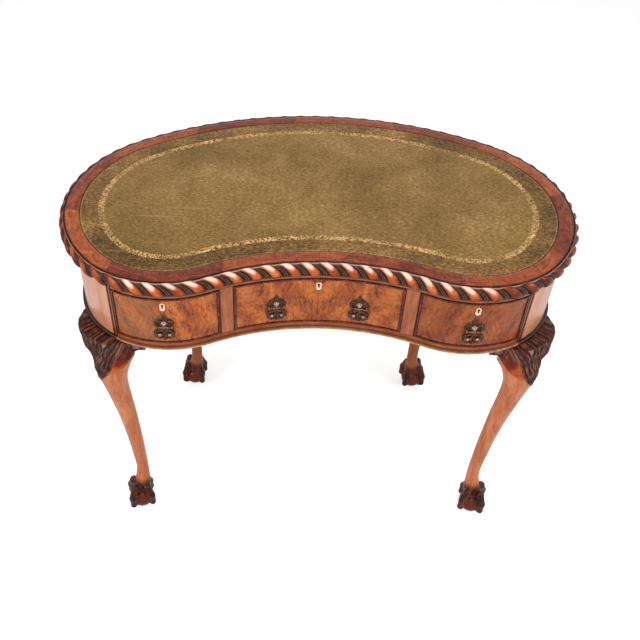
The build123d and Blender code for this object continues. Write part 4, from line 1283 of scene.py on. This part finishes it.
def rope_finish():
    """Orange brown polished lobes over dark flutes under a thin lip, with painted light: lit tops, shaded
    undersides and highlights on the lobes, painted shade in the flutes, highlights on beads and lip.
    """
    finish = Finish("rope_walnut_finish", Specular_IOR_Level=0.16, Coat_Weight=0.08, Coat_Roughness=0.16)
    place = finish.place()
    patch = place.noise(*ROPE_PATCH)
    flute = finish.field("flute")
    lip = finish.field("lip")
    # Painted highlight on the forward-facing lobes, made patchy like wear.
    rub_and_highlight = finish.field("lobe_highlight") + patch.spread(*MOST_NOISE, *ROPE_HIGHLIGHT_SPREAD)
    # Painted highlight along the lip.
    pale = lip.eased(*ROPE_LIP_HIGHLIGHT_RISING) * lip.faded(*ROPE_LIP_HIGHLIGHT_FALLING)
    # Lobes painted lit on top and shaded below.
    colour = finish.field("lobe_light").between(patch.ramp(ROPE_SHADED_LOBE_TONES), patch.ramp(ROPE_LIT_LOBE_TONES)).tinted(
        # Painted shade at the lobes' edges and in the flutes.
        (finish.field("edge") ** ROPE_EDGE_SHADE_POWER, *ROPE_EDGE_SHADE_LAYER),
        (flute, 1.0, patch.ramp(ROPE_FLUTE_SHADE_TONES)),
        # Painted highlight on the flutes' fine beads.
        (finish.field("bead"), *ROPE_BEAD_HIGHLIGHT_LAYER),
        # Painted highlight on the lobes.
        (rub_and_highlight.eased(*ROPE_HIGHLIGHT_FROM), *ROPE_HIGHLIGHT_LAYER),
        (lip, *ROPE_LIP_LAYER),
        (pale, *ROPE_LIP_HIGHLIGHT_LAYER))
    fine = place.noise(*ROPE_FINE)
    return finish.done(colour, fine.bump(*ROPE_RELIEF), flute.spread(0.0, 1.0, *ROPE_ROUGHNESS))


def fraction(value):
    """What is left of a value after its whole part."""
    return value.maths("FRACT", value)


def band_finish():
    """Long leaves of mottled veneer, each with its own tone, that meet on slanting joints."""
    finish = Finish("banding_walnut_finish", Specular_IOR_Level=0.2, Coat_Weight=0.06, Coat_Roughness=0.12)
    run = finish.field("run")
    inset = finish.field("inset")
    start = (run - BAND_START) / rim_length
    nearest = fraction(start + 0.5 / BAND_LEAVES)
    slant = nearest.stepped([0.5 + 0.5 * lean for lean in BAND_SLANTS]) * 2.0 - 1.0
    share = fraction(start - slant * (inset / rim_length))
    tone = share.stepped(BAND_LEVELS)
    broad, streaks = (finish.join(run * along, inset * across, tone).noise(1.0, *noise)
                      for along, across, *noise in (BAND_BROAD, BAND_STREAKS))
    grain = streaks * BAND_STREAK_SHARE + broad * (1 - BAND_STREAK_SHARE)
    grain = grain + tone.spread(0.0, 1.0, *BAND_LEVEL_SPREAD)
    near = abs(fraction(share * BAND_LEAVES + 0.5) - 0.5)
    joint = near.faded(*(half * BAND_LEAVES / rim_length for half in BAND_JOINT))
    lines = inset.faded(*BAND_OUTER_LINE).either(inset.eased(*BAND_INNER_LINE))
    colour = grain.ramp(BAND_TONES).tinted((joint, *BAND_JOINT_LAYER), (lines, *BAND_LINE_LAYER))
    fine = finish.place().noise(*BAND_FINE)
    return finish.done(colour, fine.bump(*VENEER_RELIEF), streaks.spread(*MOST_NOISE, *VENEER_ROUGHNESS))


def gilding(finish, place, run, inset):
    """The leather's tooling: the share of gilt, its tone, and the share of the band that it lies in."""
    flat = finish.join(run, inset, 0.0)
    swirl = flat.noise(*GILT_SWIRL)
    curl = finish.value("TexVoronoi", {"Vector": flat, "Scale": GILT_DOTS}, "Distance", feature="F1")
    within = abs(inset - GILT_INSET).faded(*GILT_HALF)
    marks = (swirl.eased(*GILT_SWIRL_FROM) * within).either(curl.faded(*GILT_DOTS_TO) * within)
    marks = marks * place.noise(*GILT_LOSS).spread(*GILT_LOSS_FROM, GILT_LEAST_SHARE, 1.0)
    broken = finish.join(run, 0.0, 0.0).noise(*GILT_LINE_LOSS).eased(*GILT_LINE_LOSS_FROM)
    thin = abs(inset - GILT_LINE_INSET).faded(*GILT_LINE) * broken
    tone = swirl.eased(*GILT_TONE_FROM).between(GILT_DARK_TONE, GILT_LIGHT_TONE)
    return marks.most(thin * GILT_LINE_SHARE), tone, within


def leather_finish():
    """Old green brown leather with a worn gilt band and a fine gilt line."""
    finish = Finish("green_leather_finish", Specular_IOR_Level=0.2)
    place = finish.place()
    inset = finish.field("inset")
    gilt, gilt_tone, within = gilding(finish, place, finish.field("run"), inset)
    speck = place.stretched(LEATHER_SPECK_STRETCH).noise(*LEATHER_SPECK)
    tone = place.noise(*LEATHER_CLOUD) * LEATHER_CLOUD_SHARE + speck * (1 - LEATHER_CLOUD_SHARE)
    scratch = place.stretched(SCRATCH_STRETCH, (0, 0, SCRATCH_TURN)).noise(*SCRATCH).eased(*SCRATCH_FROM)
    sparse = place.noise(*SCRATCH_PATCH).eased(*SCRATCH_PATCH_FROM)
    middle = inset.eased(*LEATHER_MIDDLE)
    colour = middle.between(tone.ramp(LEATHER_BORDER_TONES), tone.ramp(LEATHER_FIELD_TONES)).tinted(
        (place.noise(*LEATHER_TINT).eased(*LEATHER_TINT_FROM), *LEATHER_TINT_LAYER),
        (within, *GILT_GROUND_LAYER),
        (gilt, GILT_SHARE, gilt_tone),
        (abs(place.split()[0]).faded(*LEATHER_SEAM), *LEATHER_SEAM_LAYER),
        (scratch * sparse, *LEATHER_SCRATCH_LAYER),
        (inset.faded(*LEATHER_GRIME), *LEATHER_GRIME_LAYER))
    height = place.noise(*LEATHER_PEBBLE) * PEBBLE_HEIGHT_SHARE - gilt * GILT_HEIGHT_SHARE
    return finish.done(colour, height.bump(*LEATHER_RELIEF), gilt.spread(0.0, 1.0, *LEATHER_ROUGHNESS))


def figured_walnut():
    """Figured veneer of the drawer fronts, laid as mirror images about the middle."""
    finish = Finish("burr_walnut_finish", Specular_IOR_Level=0.3, Coat_Weight=0.12,
                    Coat_Roughness=COAT_ROUGHNESS)
    x, _, z = finish.place().split()
    across = abs(x)
    mirrored = finish.join(across, 0.0, z)
    folded = across * FIGURE_ACROSS + (mirrored.noise(*FIGURE_WARP) * FIGURE_WARP_TURNS - z * FIGURE_UP)
    bands = folded.maths("SINE", folded).spread(-1.0, 1.0, 0.0, 1.0)
    drift = mirrored.noise(*FIGURE_SWIRL, output=1).moved("SUBTRACT", (0.5, 0.5, 0.5))
    swirled = mirrored.moved("ADD", drift.moved("MULTIPLY", (FIGURE_DRIFT, 0.0, FIGURE_DRIFT)))
    mottle, upright, level = (swirled.stretched(stretch).noise(*noise)
                              for stretch, *noise in (FIGURE_MOTTLE, FIGURE_UPRIGHT, FIGURE_LEVEL))
    lying = across.eased(*LEVEL_FIGURE_RISING) * across.faded(*LEVEL_FIGURE_FALLING)
    streak = lying.between(upright, level)
    tone = bands * FIGURE_BAND_SHARE + (mottle * FIGURE_MOTTLE_SHARE + streak * FIGURE_STREAK_SHARE)
    dull = x.eased(*DULL_FIGURE) * mirrored.noise(*FIGURE_DULL).eased(*FIGURE_DULL_FROM)
    colour = tone.ramp(FIGURE_TONES).tinted(
        (dull, *FIGURE_DULL_LAYER),
        (x.eased(stile_x, stile_x + DEEP_FIGURE_BLEND), *FIGURE_DEEP_LAYER),
        (across.faded(*FIGURE_SEAM), *FIGURE_SEAM_LAYER))
    half = STILE_WIDTH / 2 + DRAWER_GAP + COCK_BEAD_WIDTH
    # Painted shade in the gaps and recesses beside the cock beads and stiles.
    colour = shade_lines(colour, across, (stile_x - half, stile_x + half, front_high.x - COCK_BEAD_WIDTH))
    colour = shade_lines(colour, z, (front_low.z + COCK_BEAD_WIDTH, front_high.z - COCK_BEAD_WIDTH))
    return finish.done(colour, streak.bump(*VENEER_RELIEF), mottle.spread(*MOST_NOISE, *VENEER_ROUGHNESS))


def leg_finish():
    """Polished walnut, dark in the carving, redder on the knee and foot, with painted light: shade in the
    grooves and on the rear legs, highlights on crests and the ear's rim, the ear lit low down.
    """
    finish = Finish("carved_walnut_finish", Specular_IOR_Level=0.16, Coat_Weight=0.1,
                    Coat_Roughness=COAT_ROUGHNESS)
    place = finish.place()
    _, y, z = place.split()
    leaf = finish.field("leaf")
    groove = finish.field("groove")
    grain = wood_grain(place, 34.0, (1.0, 1.0, 0.14))
    # Painted light on the ear: lit low down and shaded towards the frieze, mixed with patches.
    ear_light_and_patch = z.spread(*EAR_LIGHT_HEIGHTS, *EAR_LIGHT_LEVELS) * EAR_LIGHT_SHARE
    ear_light_and_patch = ear_light_and_patch + place.noise(*EAR_PATCH) * (1 - EAR_LIGHT_SHARE)
    fleck = place.noise(*CREST_FLECK).eased(*CREST_FLECK_FROM)
    colour = grain.ramp(SHAFT_TONES).tinted(
        # Painted shade on the rear legs.
        (y.eased(*REAR_LEG_SHADE_FROM), *REAR_LEG_SHADE_LAYER),
        (z.faded(*FOOT_HEIGHTS), 1.0, grain.ramp(FOOT_TONES)),
        (finish.field("ball"), *BALL_LAYER),
        (finish.field("ear"), 1.0, ear_light_and_patch.ramp(EAR_TONES)),
        (leaf, 1.0, grain.ramp(LEAF_TONES)),
        # Painted highlight on the ear's rim and scroll.
        (finish.field("lip"), *EAR_RIM_HIGHLIGHT_LAYER),
        # Painted highlight flecked along the leaf's crests.
        (leaf * groove.faded(*CREST_TO) * fleck, *CREST_HIGHLIGHT_LAYER),
        # Painted shade in the grooves.
        (groove.eased(*GROOVE_FROM), *GROOVE_SHADE_LAYER))
    fine = place.stretched(LEG_FINE_STRETCH).noise(*LEG_FINE)
    return finish.done(colour, fine.bump(*LEG_RELIEF), groove.spread(0.0, 1.0, *LEG_ROUGHNESS))


def cast_metal(name, tones, roughness, speck_scale, metallic=0.85, rub_and_highlight=None):
    """A cast metal with colour lying in its hollows, and paler where it is raised, partly bright wear and
    partly a painted highlight.
    """
    finish = Finish(name, Metallic=metallic)
    patch = finish.place().noise(speck_scale, *METAL_SPECK)
    colour = patch.eased(*METAL_SPECK_FROM).between(*tones)
    if rub_and_highlight:
        raised = finish.field("raised")
        patchy = patch.spread(*METAL_RUBBED_FROM, METAL_LEAST_SHARE, 1.0)
        # Paler where raised: partly bright wear, partly a painted highlight.
        colour = colour.tinted((raised * patchy, 1.0, raised.ramp(rub_and_highlight)))
    rough = patch.spread(*MOST_NOISE, roughness - METAL_SMOOTHER, roughness + METAL_ROUGHER)
    return finish.done(colour, patch.bump(*METAL_RELIEF), rough)


def plain_wood(name, tones, stretch, scale):
    """Unpolished inner wood."""
    finish = Finish(name, Roughness=PLAIN_WOOD_ROUGHNESS)
    grain = wood_grain(finish.place(), scale, stretch)
    return finish.done(grain.ramp(tones), grain.bump(*PLAIN_WOOD_RELIEF))


def bead_finish(name, tones):
    """Polished moulded edges."""
    finish = Finish(name, Specular_IOR_Level=0.3, Coat_Weight=0.15, Coat_Roughness=COAT_ROUGHNESS)
    grain = finish.place().noise(*BEAD_GRAIN)
    rough = grain.spread(*MOST_NOISE, *BEAD_ROUGHNESS)
    return finish.done(grain.ramp(tones), grain.bump(*BEAD_RELIEF), rough)


def foot_bead_finish():
    """A pale painted highlight on the front's lower bead between the corners, and dark behind them."""
    finish = Finish("foot_bead_finish", Roughness=0.3, Specular_IOR_Level=0.3, Coat_Weight=0.12,
                    Coat_Roughness=COAT_ROUGHNESS)
    place = finish.place()
    x, y, z = place.split()
    grain = place.noise(*FOOT_BEAD_GRAIN)
    top = z.eased(*(bead_top + offset for offset in FOOT_BEAD_TOP))
    beyond = abs(x).eased(corner_x - FOOT_BEAD_CORNER, corner_x).most(y.eased(0.0, FOOT_BEAD_BACK))
    # Pale painted highlight along the front; dark tones behind the corners.
    colour = grain.ramp(FOOT_BEAD_HIGHLIGHT_TONES).tinted((top, *FOOT_BEAD_TOP_LAYER),
                                                (beyond, 1.0, grain.ramp(FOOT_BEAD_DARK_TONES)))
    return finish.done(colour, grain.bump(*BEAD_RELIEF))


def wear(piece, material):
    """Gives a piece one material."""
    piece.data.materials.clear()
    piece.data.materials.append(material)


def dress_nodes(bronze):
    """Gives each solid that stays its own finish."""
    opening = (rail_high.z, top_rail_foot)
    uprights = (stile_x - STILE_WIDTH / 2, stile_x + STILE_WIDTH / 2)
    along = (0.25, 1.0, 1.0)
    slots = {
        "frame_walnut": plain_walnut("frame_walnut_finish", FRAME_TONES, along, 60.0, lines=opening,
                                     shadowed_from=rope_low.z - SHADOW_BELOW_ROPE),
        "panel_walnut": plain_walnut("panel_walnut_finish", PANEL_TONES, (1.0, 1.0, 0.12), 34.0, gloss=0.9),
        "burr_walnut": figured_walnut(),
        "bead_walnut": bead_finish("bead_walnut_finish", COCK_BEAD_TONES),
        "drawer_lining": plain_wood("drawer_lining_finish", OAK_TONES, (0.2, 0.2, 1.0), 40.0),
        "carcase_pine": plain_wood("carcase_pine_finish", PINE_TONES, (0.1, 1.0, 1.0), 24.0),
        "escutcheon_brass": cast_metal("escutcheon_brass_finish", ESCUTCHEON_TONES, 0.35, 260.0, 0.35),
        "lock_brass": cast_metal("lock_brass_finish", LOCK_TONES, 0.35, 120.0),
        "handle_bronze": bronze,
        "screw_steel": cast_metal("screw_steel_finish", STEEL_TONES, 0.35, 200.0),
    }
    upright = plain_walnut("upright_walnut_finish", FRAME_TONES, (1.0, 1.0, 0.15), 70.0, axis=0,
                           lines=uprights)
    nodes = {
        "divider_stiles": upright,
        "corner_stiles": upright,
        "base_bead": foot_bead_finish(),
        "bottom_rail": plain_walnut("low_rail_finish", LOW_RAIL_TONES, along, 60.0, lines=opening),
    }
    for part in frame["record"]["subparts"]:
        material = nodes.get(part["node"], slots.get(part["material_slot"]))
        if material:
            wear(frame["nodes"][part["node"]], material)


# Setting

def camera():
    """The view from above and in front."""
    fall = CAMERA_PITCH
    forward = Vector((sin(CAMERA_YAW) * cos(fall), cos(CAMERA_YAW) * cos(fall), -sin(fall)))
    level = Vector((cos(CAMERA_YAW), -sin(CAMERA_YAW), 0))
    upward = level.cross(forward)
    right = level * cos(CAMERA_ROLL) + upward * sin(CAMERA_ROLL)
    up = upward * cos(CAMERA_ROLL) - level * sin(CAMERA_ROLL)
    data = bpy.data.cameras.new("camera")
    data.lens = CAMERA_LENS
    data.sensor_width = CAMERA_SENSOR
    data.shift_x, data.shift_y = CAMERA_SHIFT
    view = bpy.data.objects.new("camera", data)
    bpy.context.scene.collection.objects.link(view)
    rotation = Matrix((right, up, -forward)).transposed()
    view.matrix_world = Matrix.Translation(CAMERA_PLACE) @ rotation.to_4x4()
    bpy.context.scene.camera = view


def lamp(name, place, aim, size, power):
    """A large soft lamp, aimed at a point."""
    data = bpy.data.lights.new(name, "AREA")
    data.shape = "RECTANGLE"
    data.size, data.size_y = size
    data.energy = power
    light = bpy.data.objects.new(name, data)
    bpy.context.scene.collection.objects.link(light)
    direction = Vector(aim) - Vector(place)
    light.rotation_euler = direction.to_track_quat("-Z", "Y").to_euler()
    light.location = place


def surroundings():
    """Soft light all round, which looks white itself and in what is polished or clear."""
    world = bpy.data.worlds.new("surroundings")
    bpy.context.scene.world = world
    world.use_nodes = True
    tree = world.node_tree
    tree.nodes.clear()
    rays = new_node(tree, "LightPath").outputs
    seen = Value(tree, rays["Is Camera Ray"])
    for ray in ("Is Glossy Ray", "Is Transmission Ray"):
        seen = seen.most(Value(tree, rays[ray]))
    soft, white = (seen.made("Background", {"Color": WHITE, "Strength": strength})
                   for strength in (SURROUNDING_LIGHT, 1.0))
    new_node(tree, "OutputWorld", {0: seen.made("MixShader", {0: seen, 1: soft, 2: white})})


def pale_floor():
    """A wide pale floor that keeps the desk's shadow."""
    mesh = bpy.data.meshes.new("floor")
    corners = ((-1, -1), (1, -1), (1, 1), (-1, 1))
    mesh.from_pydata([(x * FLOOR_REACH, y * FLOOR_REACH, 0) for x, y in corners], [], [(0, 1, 2, 3)])
    floor = bpy.data.objects.new("floor", mesh)
    bpy.context.scene.collection.objects.link(floor)
    finish = Finish("floor_finish", Base_Color=FLOOR_COLOUR, Roughness=0.9, Specular_IOR_Level=0.0,
                    Emission_Color=WHITE)
    lift = finish.value("LightPath", output="Is Camera Ray") * FLOOR_LIFT
    finish.tree.links.new(lift.socket, finish.shader.inputs["Emission Strength"])
    wear(floor, finish.material)


def main():
    """Dresses the desk and sets the scene."""
    bpy.context.scene.view_settings.view_transform = "Standard"
    camera()
    for name, settings in LAMPS.items():
        lamp(name, *settings)
    surroundings()
    pale_floor()
    bronze = cast_metal("handle_bronze_finish", BRONZE_TONES, 0.28, 320.0, 0.8, BRONZE_RUB_AND_HIGHLIGHT_TONES)
    dark_bead = bead_finish("corner_bead_finish", CORNER_BEAD_TONES)
    walnut = leg_finish()
    dress_nodes(bronze)
    wear(rope_moulding(), rope_finish())
    wear(crossbanding(), band_finish())
    wear(leather(), leather_finish())
    for piece in corner_beads():
        wear(piece, dark_bead)
    for piece in handles():
        wear(piece, bronze)
    for leg in carved_legs():
        wear(leg, walnut)


main()
